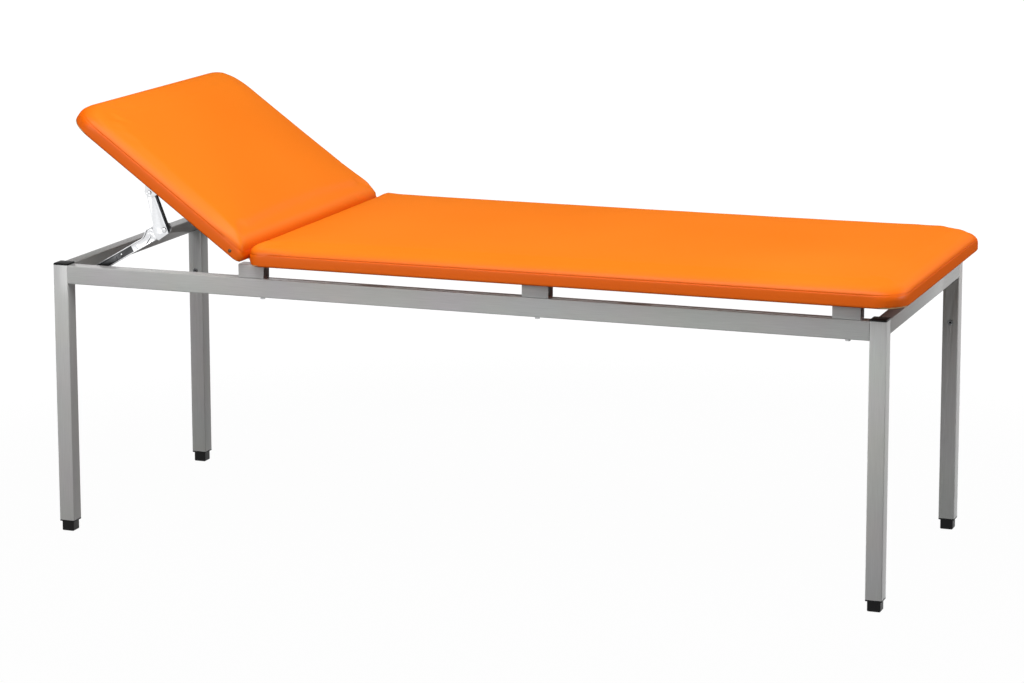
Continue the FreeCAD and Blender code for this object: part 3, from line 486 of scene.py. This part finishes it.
@dataclass
class Pad:
    """An upholstered pad: cushion form drawn from its CAD cover, sewn seam, hem and staples underneath.

    All heights and places are those of the pad lying flat; raise_by turns the finished pieces up. The outer end
    lies towards +X or -X, as outer's sign says, and the other end is the joint.
    """

    name: str
    prefix: str
    body: Body
    vinyl: bpy.types.Material
    wire: bpy.types.Material
    nodes: dict[str, bpy.types.Object]
    hinge: Vector
    outer: float = 1.0
    raise_by: float = 0.0
    base: float = 625 * MM
    thickness: float = 50 * MM
    edge_drop: float = 5.5 * MM
    cad_edge: float = 16 * MM
    corner: float = 55 * MM
    soft_corner: float = 84 * MM
    soft_band: tuple[float, float] = (17 * MM, 39 * MM)
    roll: float = 34 * MM
    joint_fade: tuple[float, float] = (50 * MM, 110 * MM)
    middle_fade: tuple[float, float] = (200 * MM, 100 * MM)
    smooth_band: tuple[float, float] = (26 * MM, 40 * MM)
    crown: float = 9.5 * MM
    crown_reach: float = 75 * MM
    crown_start: float = 16 * MM
    ripple: float = 0.5 * MM
    ripples_per_m: float = 9.0
    ripple_fade: float = 60 * MM
    inset: float = 0.5 * MM
    held_band: tuple[float, float] = (16 * MM, 8 * MM)
    swell_frames: int = 20
    swell_cap: float = 2.5 * MM
    side_swell: float = 0.35
    bulge: float = 1.2 * MM
    voxel: float = 6.5 * MM
    pressure: float = 4.0
    seam_height: float = 26 * MM
    pucker: float = 0.35
    puckers_per_m: float = 70.0
    seam_rows: tuple[tuple[float, float], ...] = ((-4.4, 0.0), (-1.7, -0.15), (0.0, 1.0), (1.7, -0.15), (4.4, 0.0))
    hem: float = 88 * MM
    hem_depth: float = 1.5 * MM
    board_rows: tuple[float, ...] = (0.8, 2.2, 4.2, 9.0, 15.0)
    board_band: tuple[float, float] = (36 * MM, 18 * MM)
    staple_size: tuple[float, float, float] = (10 * MM, 1.2 * MM, 0.7 * MM)
    staple_pitch: float = 42 * MM
    staple_from_hem: float = 12 * MM
    staple_sink: float = 0.25 * MM
    staple_turn: float = 0.25
    staple_wobble: float = 0.18

    def build(self) -> bpy.types.Object:
        """Build and dress the pad and its staples.

        Returns:
            The cushion.
        """
        form = self.form()
        cushion = self.remeshed(form)
        self.swell(cushion)
        self.crown_top(cushion)
        self.wrap_board(cushion, form)
        self.mark_bands(cushion)
        self.sew(cushion)
        self.fold_hem(cushion)
        shade(cushion, 50)
        turned(cushion, self.lift())
        dress(cushion, self.vinyl)
        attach(cushion, self.body.value)
        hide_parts(self.prefix + "_cover", self.prefix + "_foam")
        self.staple()
        LOG.info("%s: %d faces", cushion.name, len(cushion.data.polygons))
        return cushion

    def lift(self) -> Matrix:
        """Return the turn about the hinge that raises flat pieces to the drawn tilt."""
        turn = Matrix.Rotation(math.radians(self.raise_by), 4, "Y")
        return Matrix.Translation(self.hinge) @ turn @ Matrix.Translation(-self.hinge)

    def form(self) -> bpy.types.Object:
        """Return the outer form of the CAD cover, laid flat and slightly smaller all round."""
        form = copy_of(self.nodes[self.prefix + "_cover"], self.name + "_form")
        in_edit_mode(form, lambda: bpy.ops.mesh.convex_hull())
        turned(form, self.lift().inverted())
        low, high = self.limits(form)
        self.low, self.high = low, high
        middle = (low + high) / 2
        size = high - low
        for vertex in form.data.vertices:
            place = vertex.co
            place.x = middle.x + (place.x - middle.x) * (1 - 2 * self.inset / size.x)
            place.y = middle.y + (place.y - middle.y) * (1 - 2 * self.inset / size.y)
            place.z = self.base + (place.z - self.base) * (1 - self.edge_drop / self.thickness)
        return form

    def limits(self, piece: bpy.types.Object) -> tuple[Vector, Vector]:
        """Return the lowest and highest corner of a piece's mesh."""
        columns = list(zip(*(vertex.co for vertex in piece.data.vertices)))
        return Vector([min(column) for column in columns]), Vector([max(column) for column in columns])

    def remeshed(self, form: bpy.types.Object) -> bpy.types.Object:
        """Return a cushion of the form's shape, with an even mesh that a cloth can swell."""
        cushion = copy_of(form, self.name)
        apply_modifier(cushion, "REMESH", mode="VOXEL", voxel_size=self.voxel, use_smooth_shade=True)
        apply_modifier(cushion, "SMOOTH", factor=0.5, iterations=2)
        apply_modifier(cushion, "SHRINKWRAP", target=form)
        self.roll_edges(cushion)
        return cushion

    def from_outline(self, place: Vector, corner: float) -> tuple[float, Vector]:
        """Return how far a point lies inside the pad's outline, and the way inwards; the joint end doesn't count.

        Args:
            place: the point.
            corner: radius of the outline's outer corners.

        Returns:
            The distance, and a unit vector.
        """
        from_end = self.high.x - place.x if self.outer > 0 else place.x - self.low.x
        to_front, to_rear = place.y - self.low.y, self.high.y - place.y
        across = 1.0 if to_front < to_rear else -1.0
        from_side = min(to_front, to_rear)
        round_x, round_y = corner - from_end, corner - from_side
        if round_x > 0 and round_y > 0:
            reach = math.hypot(round_x, round_y)
            return corner - reach, Vector((-self.outer * round_x, across * round_y, 0)) / reach
        if from_end < from_side:
            return from_end, Vector((-self.outer, 0, 0))
        return from_side, Vector((0, across, 0))

    def roll_edges(self, cushion: bpy.types.Object) -> None:
        """Widen the small round of the top edge into the long soft roll of stretched vinyl.

        Each point keeps its run along the profile, counted from the seam upwards. Towards the joint end the roll
        fades, because that end has its own nose.
        """
        top = self.thickness - self.edge_drop
        rise = top - self.seam_height
        straight = rise - self.cad_edge
        cad_length = straight + self.cad_edge * math.pi / 2
        length = math.pi / 2 * math.sqrt((self.roll ** 2 + rise ** 2) / 2)
        for vertex in cushion.data.vertices:
            height = vertex.co.z - self.base - self.seam_height
            if height <= 0:
                continue
            depth, inward = self.from_outline(vertex.co, self.corner)
            from_joint = vertex.co.x - self.low.x if self.outer > 0 else self.high.x - vertex.co.x
            share = ramp(from_joint, *self.joint_fade)
            if height < straight:
                run = height
            elif depth < self.cad_edge:
                run = straight + self.cad_edge * math.atan2(height - straight, self.cad_edge - depth)
            else:
                run = cad_length + depth - self.cad_edge
            turn = math.pi / 2 * min(1.0, run / length)
            new_depth = self.roll * (1 - math.cos(turn)) + max(0.0, run - length)
            vertex.co += inward * (new_depth - depth) * share * ramp(depth, *self.middle_fade)
            vertex.co.z += (rise * math.sin(turn) - height) * share
        self.soften_corners(cushion)
        upper = self.weighted(cushion, *self.smooth_band)
        apply_modifier(cushion, "SMOOTH", factor=0.5, iterations=10, vertex_group=upper)
        cushion.vertex_groups.clear()

    def soften_corners(self, cushion: bpy.types.Object) -> None:
        """Round the outer corners wider towards the top, where only foam fills them."""
        for vertex in cushion.data.vertices:
            share = ramp(vertex.co.z - self.base, *self.soft_band)
            depth, _ = self.from_outline(vertex.co, self.corner)
            soft_depth, inward = self.from_outline(vertex.co, self.soft_corner)
            vertex.co += inward * max(0.0, depth - soft_depth) * share

    def weighted(self, cushion: bpy.types.Object, none: float, full: float) -> str:
        """Return the name of a new vertex group that is full at one height over the base and empty at another."""
        group = cushion.vertex_groups.new(name="by_height")
        for vertex in cushion.data.vertices:
            group.add([vertex.index], ramp(vertex.co.z - self.base, none, full), "REPLACE")
        return group.name

    def cut_rows(self, cushion: bpy.types.Object, heights: Iterable[float]) -> None:
        """Cut level rows of points round the cushion, at heights over its base."""
        for height in heights:
            def cut(level: float = self.base + height) -> None:
                """Cut one level row."""
                bpy.ops.mesh.bisect(plane_co=(0, 0, level), plane_no=(0, 0, 1))

            in_edit_mode(cushion, cut)

    def wrap_board(self, cushion: bpy.types.Object, form: bpy.types.Object) -> None:
        """Lay the cover close round the board: below the foam its points go back onto the form, which is used up."""
        self.cut_rows(cushion, [height * MM for height in self.board_rows])
        apply_modifier(cushion, "SHRINKWRAP", target=form, vertex_group=self.weighted(cushion, *self.board_band))
        cushion.vertex_groups.clear()
        bpy.data.objects.remove(form)

    def mark_bands(self, cushion: bpy.types.Object) -> None:
        """Note each point's height over the base, in metres, for the vinyl's painted shade on the side band."""
        heights = cushion.data.attributes.new("pad_height", "FLOAT", "POINT")
        for vertex in cushion.data.vertices:
            heights.data[vertex.index].value = vertex.co.z - self.base

    def swell(self, cushion: bpy.types.Object) -> None:
        """Press the cover out from inside as cloth, held to the board, and cap how far it moves."""
        start = [vertex.co.copy() for vertex in cushion.data.vertices]
        held = self.weighted(cushion, *self.held_band)
        select_only(cushion)
        cloth = cushion.modifiers.new("cloth", "CLOTH")
        cloth.settings.quality = 4
        cloth.settings.mass = 0.3
        cloth.settings.use_pressure = True
        cloth.settings.uniform_pressure_force = self.pressure
        cloth.settings.vertex_group_mass = held
        cloth.settings.effector_weights.gravity = 0.0
        cloth.point_cache.frame_start = 1
        cloth.point_cache.frame_end = self.swell_frames
        for frame_number in range(1, self.swell_frames + 1):
            bpy.context.scene.frame_set(frame_number)
        bpy.ops.object.modifier_apply(modifier=cloth.name)
        bpy.context.scene.frame_set(1)
        cushion.vertex_groups.clear()
        for vertex, before in zip(cushion.data.vertices, start):
            step = vertex.co - before
            step = Vector((step.x * self.side_swell, step.y * self.side_swell, step.z))
            vertex.co = before + step * min(1.0, self.swell_cap / max(step.length, 1e-9))
        apply_modifier(cushion, "SMOOTH", factor=0.5, iterations=2)

    def crown_top(self, cushion: bpy.types.Object) -> None:
        """Raise the top towards its middle, lay the underside flat, and keep the sides inside the CAD form."""
        for vertex in cushion.data.vertices:
            place = vertex.co
            edge = min(place.x - self.low.x, self.high.x - place.x, place.y - self.low.y, self.high.y - place.y)
            share = ramp(place.z - self.base - self.seam_height, 0.0, self.crown_start)
            rise = self.crown * (1 - math.exp(-(max(edge, 0.0) / self.crown_reach) ** 1.5))
            ripple = noise.noise(place * self.ripples_per_m) * self.ripple
            place.z += share * (rise + ripple * min(1.0, edge / self.ripple_fade))
            place.z = max(place.z, self.base)
            place.x = max(self.low.x, min(self.high.x, place.x))
            place.y = max(self.low.y - self.bulge, min(self.high.y + self.bulge, place.y))

    def sew(self, cushion: bpy.types.Object) -> None:
        """Draw in the seam between top panel and side band as a valley, with small puckers along it."""
        level = self.base + self.seam_height
        self.cut_rows(cushion, [self.seam_height + offset * MM for offset, _ in self.seam_rows])
        normals = [vertex.normal.copy() for vertex in cushion.data.vertices]
        for vertex, normal in zip(cushion.data.vertices, normals):
            for offset, depth in self.seam_rows:
                if abs(vertex.co.z - level - offset * MM) < 0.02 * MM and abs(normal.z) < 0.8:
                    outward = Vector((normal.x, normal.y, 0)).normalized()
                    along = Vector((vertex.co.x, vertex.co.y, 0)) * self.puckers_per_m
                    vertex.co -= outward * depth * (1 + self.pucker * noise.noise(along)) * MM
                    break

    def fold_hem(self, cushion: bpy.types.Object) -> None:
        """Sink the underside inside the hem, so that the board shows within the turned-under edge."""
        low = self.low + Vector((self.hem, self.hem, 0))
        high = self.high - Vector((self.hem, self.hem, 0))
        planes = [((low.x, 0, 0), (1, 0, 0)), ((high.x, 0, 0), (1, 0, 0)),
                  ((0, low.y, 0), (0, 1, 0)), ((0, high.y, 0), (0, 1, 0))]

        def underside(polygon: bpy.types.MeshPolygon) -> bool:
            """Tell whether a face belongs to the flat underside."""
            return polygon.normal.z < -0.9 and polygon.center.z < self.base + 2 * MM

        def inside(polygon: bpy.types.MeshPolygon) -> bool:
            """Tell whether a face of the underside lies within the hem."""
            centre = polygon.center
            return underside(polygon) and low.x < centre.x < high.x and low.y < centre.y < high.y

        def sink() -> None:
            """Cut the hem's outline and push what lies within it up."""
            for point, normal in planes:
                select_faces(cushion, underside)
                bpy.ops.mesh.bisect(plane_co=point, plane_no=normal)
            select_faces(cushion, inside)
            bpy.ops.mesh.extrude_region_move(TRANSFORM_OT_translate={"value": (0, 0, self.hem_depth)})

        in_edit_mode(cushion, sink)

    def staple(self) -> None:
        """Drive staples through the hem, all round, a little way in from its edge."""
        bpy.ops.mesh.primitive_cube_add(size=1)
        model = bpy.context.object
        model.scale = self.staple_size
        apply_place(model)
        apply_modifier(model, "BEVEL", width=0.25 * MM, segments=1)
        row = self.hem - self.staple_from_hem
        places = []
        for along, across in ((0, 1), (1, 0)):
            run = self.high[along] - self.low[along] - 2 * row
            count = int(run / self.staple_pitch)
            for edge in (self.low[across] + row, self.high[across] - row):
                for index in range(along, count + 1 - along):
                    place = Vector((0, 0, self.base - self.staple_sink))
                    place[along] = self.low[along] + row + index * run / count
                    place[across] = edge
                    places.append(self.staple_place(place, along * math.pi / 2 + self.staple_turn, index))
        staples = repeated(model, places, self.name + "_staples")
        turned(staples, self.lift())
        dress(staples, self.wire)
        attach(staples, self.body.value)

    def staple_place(self, place: Vector, turn: float, index: int) -> Matrix:
        """Return a staple's place, turned a little unevenly as by hand."""
        wobble = self.staple_wobble * noise.noise(Vector((place.x, place.y, index)) * 31.7)
        return Matrix.Translation(place) @ Matrix.Rotation(turn + wobble, 4, "Z")


# Steelwork


@dataclass
class Steelwork:
    """The tube frame with its caps and feet, and the weld beads that hold it together."""

    nodes: dict[str, bpy.types.Object]
    along_x: bpy.types.Material
    # Darker copy of the tube finish for the end rails: painted shade, for the shade of the pads over them.
    shaded_along_y: bpy.types.Material
    along_z: bpy.types.Material
    plastic: bpy.types.Material
    zinc: bpy.types.Material
    tube_edge: float = 0.6 * MM
    plastic_edge: float = 0.4 * MM
    lid_scale: float = 1.6
    bead_radius: float = 1.9 * MM
    bead_ripple: float = 2.6 * MM
    bead_wave: float = 0.16
    upright_stop: float = 3 * MM
    level_stop: float = 4 * MM
    outer_stop: float = 2 * MM
    tube_corner: float = 2.2 * MM

    def build(self) -> None:
        """Dress the tubes and build caps, feet and weld beads."""
        for name, node in self.nodes.items():
            if name.startswith(("side_rail", "pad_spacer")):
                refined(node, self.along_x, Body.TABLE, self.tube_edge)
            elif name.startswith("end_rail"):
                refined(node, self.shaded_along_y, Body.TABLE, self.tube_edge)
            elif name.startswith(("leg_cap", "foot_")):
                piece = refined(node, self.plastic, Body.TABLE, self.plastic_edge)
                if name.startswith("leg_cap"):
                    self.thicken_lid(piece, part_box(name.replace("leg_cap", "leg"))[1].z)
            elif name.startswith("leg_"):
                refined(node, self.along_z, Body.TABLE, self.tube_edge)
        self.weld()
        LOG.info("steelwork dressed")

    def thicken_lid(self, cap: bpy.types.Object, level: float) -> None:
        """Raise the part of a cap that stands over its leg, as the photograph shows it a little thicker."""
        for vertex in cap.data.vertices:
            vertex.co.z += max(0.0, vertex.co.z - level) * (self.lid_scale - 1)

    def weld(self) -> None:
        """Lay weld beads in the inner corners of rails and legs, and along the spacers' inner feet."""
        runs = []
        stop, level_stop = self.upright_stop, self.level_stop
        for end in ("head", "foot"):
            for side in ("front", "rear"):
                low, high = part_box(f"leg_{end}_{side}")
                rail_low, rail_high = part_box(f"side_rail_{side}")
                end_low, end_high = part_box(f"end_rail_{end}")
                x, inner_x = (high.x, end_high.x) if end == "head" else (low.x, end_low.x)
                y, inner_y = (high.y, rail_high.y) if side == "front" else (low.y, rail_low.y)
                runs += [
                    ((x, inner_y, rail_low.z + stop), (x, inner_y, rail_high.z - stop)),
                    ((x, rail_low.y + level_stop, rail_low.z), (x, rail_high.y - self.outer_stop, rail_low.z)),
                    ((inner_x, y, end_low.z + stop), (inner_x, y, end_high.z - stop)),
                    ((end_low.x + level_stop, y, end_low.z), (end_high.x - level_stop, y, end_low.z)),
                ]
        for station in ("head", "mid", "foot"):
            for side in ("front", "rear"):
                low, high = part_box(f"pad_spacer_{station}_{side}")
                inner = high.y - self.tube_corner if side == "front" else low.y + self.tube_corner
                runs.append(((low.x + level_stop, inner, low.z), (high.x - level_stop, inner, low.z)))
        welds = joined([self.bead(Vector(start), Vector(end)) for start, end in runs], "weld_beads")
        shade(welds, 60)
        dress(welds, self.zinc)
        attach(welds, Body.TABLE.value)

    def bead(self, start: Vector, end: Vector) -> bpy.types.Object:
        """Return a rippled weld bead between two points.

        Args:
            start: first end of the bead's centreline.
            end: its other end.

        Returns:
            The bead, with rounded ends.
        """
        run = end - start
        bpy.ops.mesh.primitive_uv_sphere_add(segments=10, ring_count=int(run.length / self.bead_ripple) * 2 + 4,
                                             radius=1.0)
        bead = bpy.context.object
        half = run.length / 2
        for vertex in bead.data.vertices:
            turn = math.acos(max(-1.0, min(1.0, vertex.co.z)))
            along = (2 * turn / math.pi - 1) * half
            wave = 1 + self.bead_wave * math.cos(2 * math.pi * along / self.bead_ripple)
            thick = self.bead_radius * wave * min(1.0, 4 * math.sin(turn)) ** 0.5
            flat = Vector((vertex.co.x, vertex.co.y)).normalized() if turn > 1e-4 else Vector((0, 0))
            vertex.co = Vector((flat.x * thick, flat.y * thick, along))
        turned(bead, Matrix.Translation((start + end) / 2) @ run.to_track_quat("Z", "Y").to_matrix().to_4x4())
        return bead


def refined(node: bpy.types.Object, material: bpy.types.Material, body: Body,
            edge: float) -> bpy.types.Object:
    """Replace a hard CAD node by its merged copy with slightly rounded edges.

    Args:
        node: the CAD node.
        material: finish of the piece.
        body: body that it rides on.
        edge: width of the rounding.

    Returns:
        The new piece.
    """
    piece = copy_of(node, node.name + "_finished")
    apply_modifier(piece, "BEVEL", width=edge, segments=2, limit_method="ANGLE", angle_limit=math.radians(35))
    shade(piece, 40)
    dress(piece, material)
    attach(piece, body.value)
    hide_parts(node.name)
    return piece


# Fittings


@dataclass
class Fittings:
    """Hinges, stays, bolts and studs: each CAD node gets broken edges and its own plated finish."""

    nodes: dict[str, bpy.types.Object]
    bodies: dict[str, str]
    plate: bpy.types.Material
    zinc: bpy.types.Material
    rivet: bpy.types.Material
    stud: bpy.types.Material
    dark_zinc_and_painted_shade: bpy.types.Material
    board: bpy.types.Material
    web: float = 2.0 * MM
    web_reach: float = 2.5 * MM
    web_half: float = 8.5 * MM
    fold_band: float = 4.5 * MM
    channel_end: float = 96 * MM
    # How dark the painted shade is inside the channel, and how much of the edge shade stays on the plate beyond it.
    channel_shade: float = 0.92
    plate_edge_shade: float = 0.75
    channel_rivet: tuple[float, float, float] = (2.6 * MM, 1.3 * MM, 2.6 * MM)
    channel_rivets: tuple[tuple[float, float], ...] = ((43 * MM, 3.5 * MM), (65.5 * MM, 1.5 * MM))
    edges: dict[str, float] = field(default_factory=lambda: {
        "lower_arm": 0.5 * MM, "upper_arm": 0.5 * MM, "head_bracket": 0.5 * MM, "ratchet_plate": 0.25 * MM,
        "pawl": 0.25 * MM, "hinge_leaf": 0.3 * MM, "stay_stud": 0.4 * MM})

    def build(self) -> None:
        """Dress every fitting by its kind."""
        kinds = (
            (("lower_arm", "upper_arm", "head_bracket"), self.plate, "stay_steel"),
            (("ratchet_plate", "pawl_front", "pawl_rear", "pawl_spring"), self.plate, "hard_steel"),
            (("pawl_pin", "elbow_rivet", "top_rivet", "stay_stud"), self.rivet, "rivet_steel"),
            (("hinge_",), self.zinc, "hinge_steel"), (("side_studs",), self.stud, "dark_stud"),
            (("pad_bolts", "bracket_screws", "tee_nuts"), self.zinc, "zinc_fasteners"),
            (("rivet_nuts",), self.dark_zinc_and_painted_shade, "zinc_fasteners"),
        )
        for name, node in self.nodes.items():
            for prefixes, material, slot in kinds:
                if name.startswith(prefixes):
                    width = next((edge for part, edge in self.edges.items() if name.startswith(part)), 0.15 * MM)
                    piece = refined(node, material, Body(self.bodies[name]), width)
                    if name.startswith("lower_arm"):
                        self.finish_channel(piece, name.removeprefix("lower_arm_"))
                    elif name.startswith("upper_arm"):
                        self.finish_fold(piece)
                    elif material in (self.plate, self.rivet):
                        self.paint_edge_shade(piece)
                    break
            if name.endswith("_board"):
                node.material_slots[0].material = self.board
        LOG.info("fittings dressed")

    def paint_edge_shade(self, piece: bpy.types.Object) -> bpy.types.Attribute:
        """Note on each face of a sheet piece how much painted shade it gets, full on edges that look along the sheet.

        Returns:
            The face attribute that holds the painted shade.
        """
        dark_zinc_and_painted_shade = piece.data.attributes.new("dark_zinc_and_painted_shade", "FLOAT", "FACE")
        # Painted shade: edges and folds that turn sideways to the light get the dark colour.
        for polygon in piece.data.polygons:
            dark_zinc_and_painted_shade.data[polygon.index].value = 1 - ramp(abs(polygon.normal.y), 0.35, 0.8)
        return dark_zinc_and_painted_shade

    def finish_fold(self, arm: bpy.types.Object) -> None:
        """Darken a band of an upper arm along its folded flank, where the bend turns away from the light."""
        flanks = [polygon for polygon in arm.data.polygons if polygon.normal.x > 0.7 and abs(polygon.normal.y) < 0.2]
        flank = max(flanks, key=lambda polygon: polygon.area)
        outward = flank.normal.copy()
        line = flank.center - outward * self.fold_band
        in_edit_mode(arm, lambda: bpy.ops.mesh.bisect(plane_co=line, plane_no=outward))
        dark_zinc_and_painted_shade = self.paint_edge_shade(arm)
        for polygon in arm.data.polygons:
            if (polygon.center - line).dot(outward) > 0:
                dark_zinc_and_painted_shade.data[polygon.index].value = 1.0

    def finish_channel(self, arm: bpy.types.Object, side: str) -> None:
        """Paint shade on the inside of a lower arm's channel towards its foot, and set the rivets on its floor.

        Args:
            arm: the finished lower arm.
            side: front or rear.
        """
        low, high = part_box("stay_stud_" + side)
        elbow_low, elbow_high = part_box("elbow_rivet_" + side)
        foot, elbow = (low + high) / 2, (elbow_low + elbow_high) / 2
        along = Vector((elbow.x - foot.x, 0, elbow.z - foot.z)).normalized()
        up = Vector((-along.z, 0, along.x))
        inwards = 1.0 if side == "front" else -1.0
        web_low, web_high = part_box("lower_arm_" + side)
        floor = (web_high.y if inwards > 0 else web_low.y) - inwards * self.web
        line = foot + along * self.channel_end
        in_edit_mode(arm, lambda: bpy.ops.mesh.bisect(plane_co=line, plane_no=along))
        dark_zinc_and_painted_shade = self.paint_edge_shade(arm)
        for polygon in arm.data.polygons:
            place = polygon.center - foot
            on_web = (abs(polygon.center.y - floor) < self.web_reach and abs(place.dot(up)) < self.web_half
                      and polygon.normal.y * inwards < -0.5)
            # Painted shade: the channel's floor stands dark for the shade in the recess; past the channel the edge
            # shade is weaker.
            if place.dot(along) > self.channel_end:
                dark_zinc_and_painted_shade.data[polygon.index].value *= self.plate_edge_shade
            elif on_web:
                dark_zinc_and_painted_shade.data[polygon.index].value = self.channel_shade
        heads = []
        for step, lift in self.channel_rivets:
            bpy.ops.mesh.primitive_uv_sphere_add(segments=16, ring_count=8, radius=1.0)
            head = bpy.context.object
            head.scale = self.channel_rivet
            head.location = foot + along * step + up * lift
            head.location.y = floor
            apply_place(head)
            heads.append(head)
        rivets = joined(heads, "channel_rivets_" + side)
        shade(rivets, 60)
        dress(rivets, self.rivet)
        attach(rivets, "lower_arm_" + side)


# Studio


@dataclass
class Studio:
    """White studio: floor, lamps, world and the camera at the photograph's viewpoint."""

    camera_place: Vector = field(default_factory=lambda: Vector((2.3421, -6.3800, 1.8638)))
    azimuth: float = 20.243
    elevation: float = 9.672
    roll: float = -0.120
    lens_mm: float = 111.90
    lens_shift: float = -0.125
    ambient: float = 0.08
    ceiling: float = 0.12

    def build(self) -> None:
        """Build floor, world, lamps and camera."""
        self.lay_floor()
        self.light_world()
        self.hang_lamp("overhead_lamp", (0.2, -1.2, 3.3), (0, 0, 0.5), 3.0, 104)
        self.hang_lamp("front_lamp", (-2.0, -4.6, 2.0), (0, 0, 0.5), 2.2, 84)
        self.hang_lamp("right_lamp", (3.1, 0.4, 1.5), (1.0, 0, 0.55), 1.0, 26)
        self.hang_lamp("rear_lamp", (2.6, 4.2, 3.2), (0, 0, 0.5), 2.0, 50)
        self.place_camera()
        LOG.info("studio ready")

    def lay_floor(self) -> None:
        """Lay the floor just under the feet."""
        bpy.ops.mesh.primitive_plane_add(size=120, location=(0, 0, -0.4 * MM))
        floor = bpy.context.object
        floor.name = "floor"
        apply_place(floor)
        floor.data.materials.append(StudioFloor("painted_floor").material())

    def light_world(self) -> None:
        """Fill the room with even light. Camera and glass see white, gloss a white wall under a dim ceiling."""
        world = bpy.data.worlds.new("studio")
        bpy.context.scene.world = world
        tree = new_tree(world)
        rays = add_node(tree, "ShaderNodeLightPath")
        clear = add_node(tree, "ShaderNodeMath", {"operation": "MAXIMUM"},
                         {0: rays.outputs["Is Camera Ray"], 1: rays.outputs["Is Transmission Ray"]})
        sky = add_node(tree, "ShaderNodeTexCoord").outputs["Generated"]
        way = add_node(tree, "ShaderNodeSeparateXYZ", links={0: sky})
        wall = add_node(tree, "ShaderNodeMapRange", {"interpolation_type": "SMOOTHSTEP", "From Min": 0.30,
                                                    "From Max": 0.55, "To Min": 1.0, "To Max": self.ceiling},
                        {"Value": way.outputs["Z"]})
        dim = add_node(tree, "ShaderNodeMapRange", {"To Min": self.ambient},
                       {"Value": rays.outputs["Is Glossy Ray"], "To Max": wall.outputs["Result"]})
        strength = add_node(tree, "ShaderNodeMapRange", {"To Max": 1.0},
                            {"Value": clear.outputs[0], "To Min": dim.outputs["Result"]})
        back = add_node(tree, "ShaderNodeBackground", {"Color": linear("FFFFFF")},
                        {"Strength": strength.outputs["Result"]})
        add_node(tree, "ShaderNodeOutputWorld", links={"Surface": back.outputs[0]})

    def hang_lamp(self, name: str, place: tuple[float, float, float], aim: tuple[float, float, float],
                  size: float, power: float) -> None:
        """Hang a square soft lamp.

        Args:
            name: name of the lamp.
            place: its middle.
            aim: point that it faces.
            size: side length.
            power: power in watts.
        """
        lamp = bpy.data.lights.new(name, "AREA")
        lamp.size = size
        lamp.energy = power
        lamp_object = bpy.data.objects.new(name, lamp)
        bpy.context.scene.collection.objects.link(lamp_object)
        lamp_object.location = place
        lamp_object.rotation_euler = (Vector(aim) - Vector(place)).to_track_quat("-Z", "Y").to_euler()

    def place_camera(self) -> None:
        """Set up the camera at the photograph's viewing angle."""
        turn, lift, roll = (math.radians(angle) for angle in (self.azimuth, self.elevation, self.roll))
        back = Vector((math.sin(turn) * math.cos(lift), -math.cos(turn) * math.cos(lift), math.sin(lift)))
        right = Vector((math.cos(turn), math.sin(turn), 0))
        up = back.cross(right)
        rolled_right = right * math.cos(roll) + up * math.sin(roll)
        rolled_up = up * math.cos(roll) - right * math.sin(roll)
        data = bpy.data.cameras.new("camera")
        data.lens = self.lens_mm
        data.sensor_width = 36
        data.shift_y = self.lens_shift
        data.clip_end = 200
        camera = bpy.data.objects.new("camera", data)
        bpy.context.scene.collection.objects.link(camera)
        axes = Matrix((rolled_right, rolled_up, back)).transposed().to_4x4()
        camera.matrix_world = Matrix.Translation(self.camera_place) @ axes
        bpy.context.scene.camera = camera


def main() -> None:
    """Build the table's looks and its studio."""
    logging.basicConfig(level=logging.INFO, format="%(name)s: %(message)s")
    bpy.ops.wm.read_factory_settings(use_empty=True)
    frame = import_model()
    bpy.ops.object.select_all(action="DESELECT")
    bpy.context.scene.view_settings.view_transform = "Standard"
    nodes = frame["nodes"]
    bodies = {node: body for body, members in frame["record"]["behaviour"]["bodies"].items() for node in members}
    joint = next(joint for joint in frame["joints"] if joint["name"] == "head_tilt")
    hinge = Vector(joint["pos_m"])

    zinc = PlatedSteel("zinc_plated_steel", "A9AAAB", "C6C7C8", 0.28, 0.4).material()
    wire = PlatedSteel("staple_wire", "B4B5B6", "D2D3D4", 0.2, 0.3).material()
    vinyl = Vinyl("upholstery_vinyl").material()
    Steelwork(nodes, SatinTube("satin_tube_x", Grain.ALONG_X).material(),
              # The end rails' finish is darker: painted shade, standing in for the shade under the pads.
              SatinTube("satin_tube_y_painted_shade", Grain.ALONG_Y, "A4A4A2", "AEAEAC").material(),
              SatinTube("satin_tube_z", Grain.ALONG_Z).material(),
              MouldedPlastic("moulded_polyethylene").material(), zinc).build()
    Fittings(nodes, bodies, PressedSheet("chromed_sheet", "DEDFE1", "E7E8EA", 0.28, 0.34).material(), zinc,
             PressedSheet("riveted_steel", "C6C7C9", "D8D9DB", 0.26, 0.34).material(),
             PlatedSteel("browned_stud", "4A3A2C", "6B5643", 0.3, 0.4).material(),
             PlatedSteel("dull_zinc", "4C4D4E", "626364", 0.3, 0.42).material(),
             Plywood("birch_plywood").material()).build()
    Pad("body_pad", "body", Body.TABLE, vinyl, wire, nodes, hinge).build()
    Pad("head_pad", "head", Body.HEADREST, vinyl, wire, nodes, hinge, -1.0, raise_by=-joint["range_deg"][0]).build()
    Studio().build()


if __name__ == "__main__":
    main()
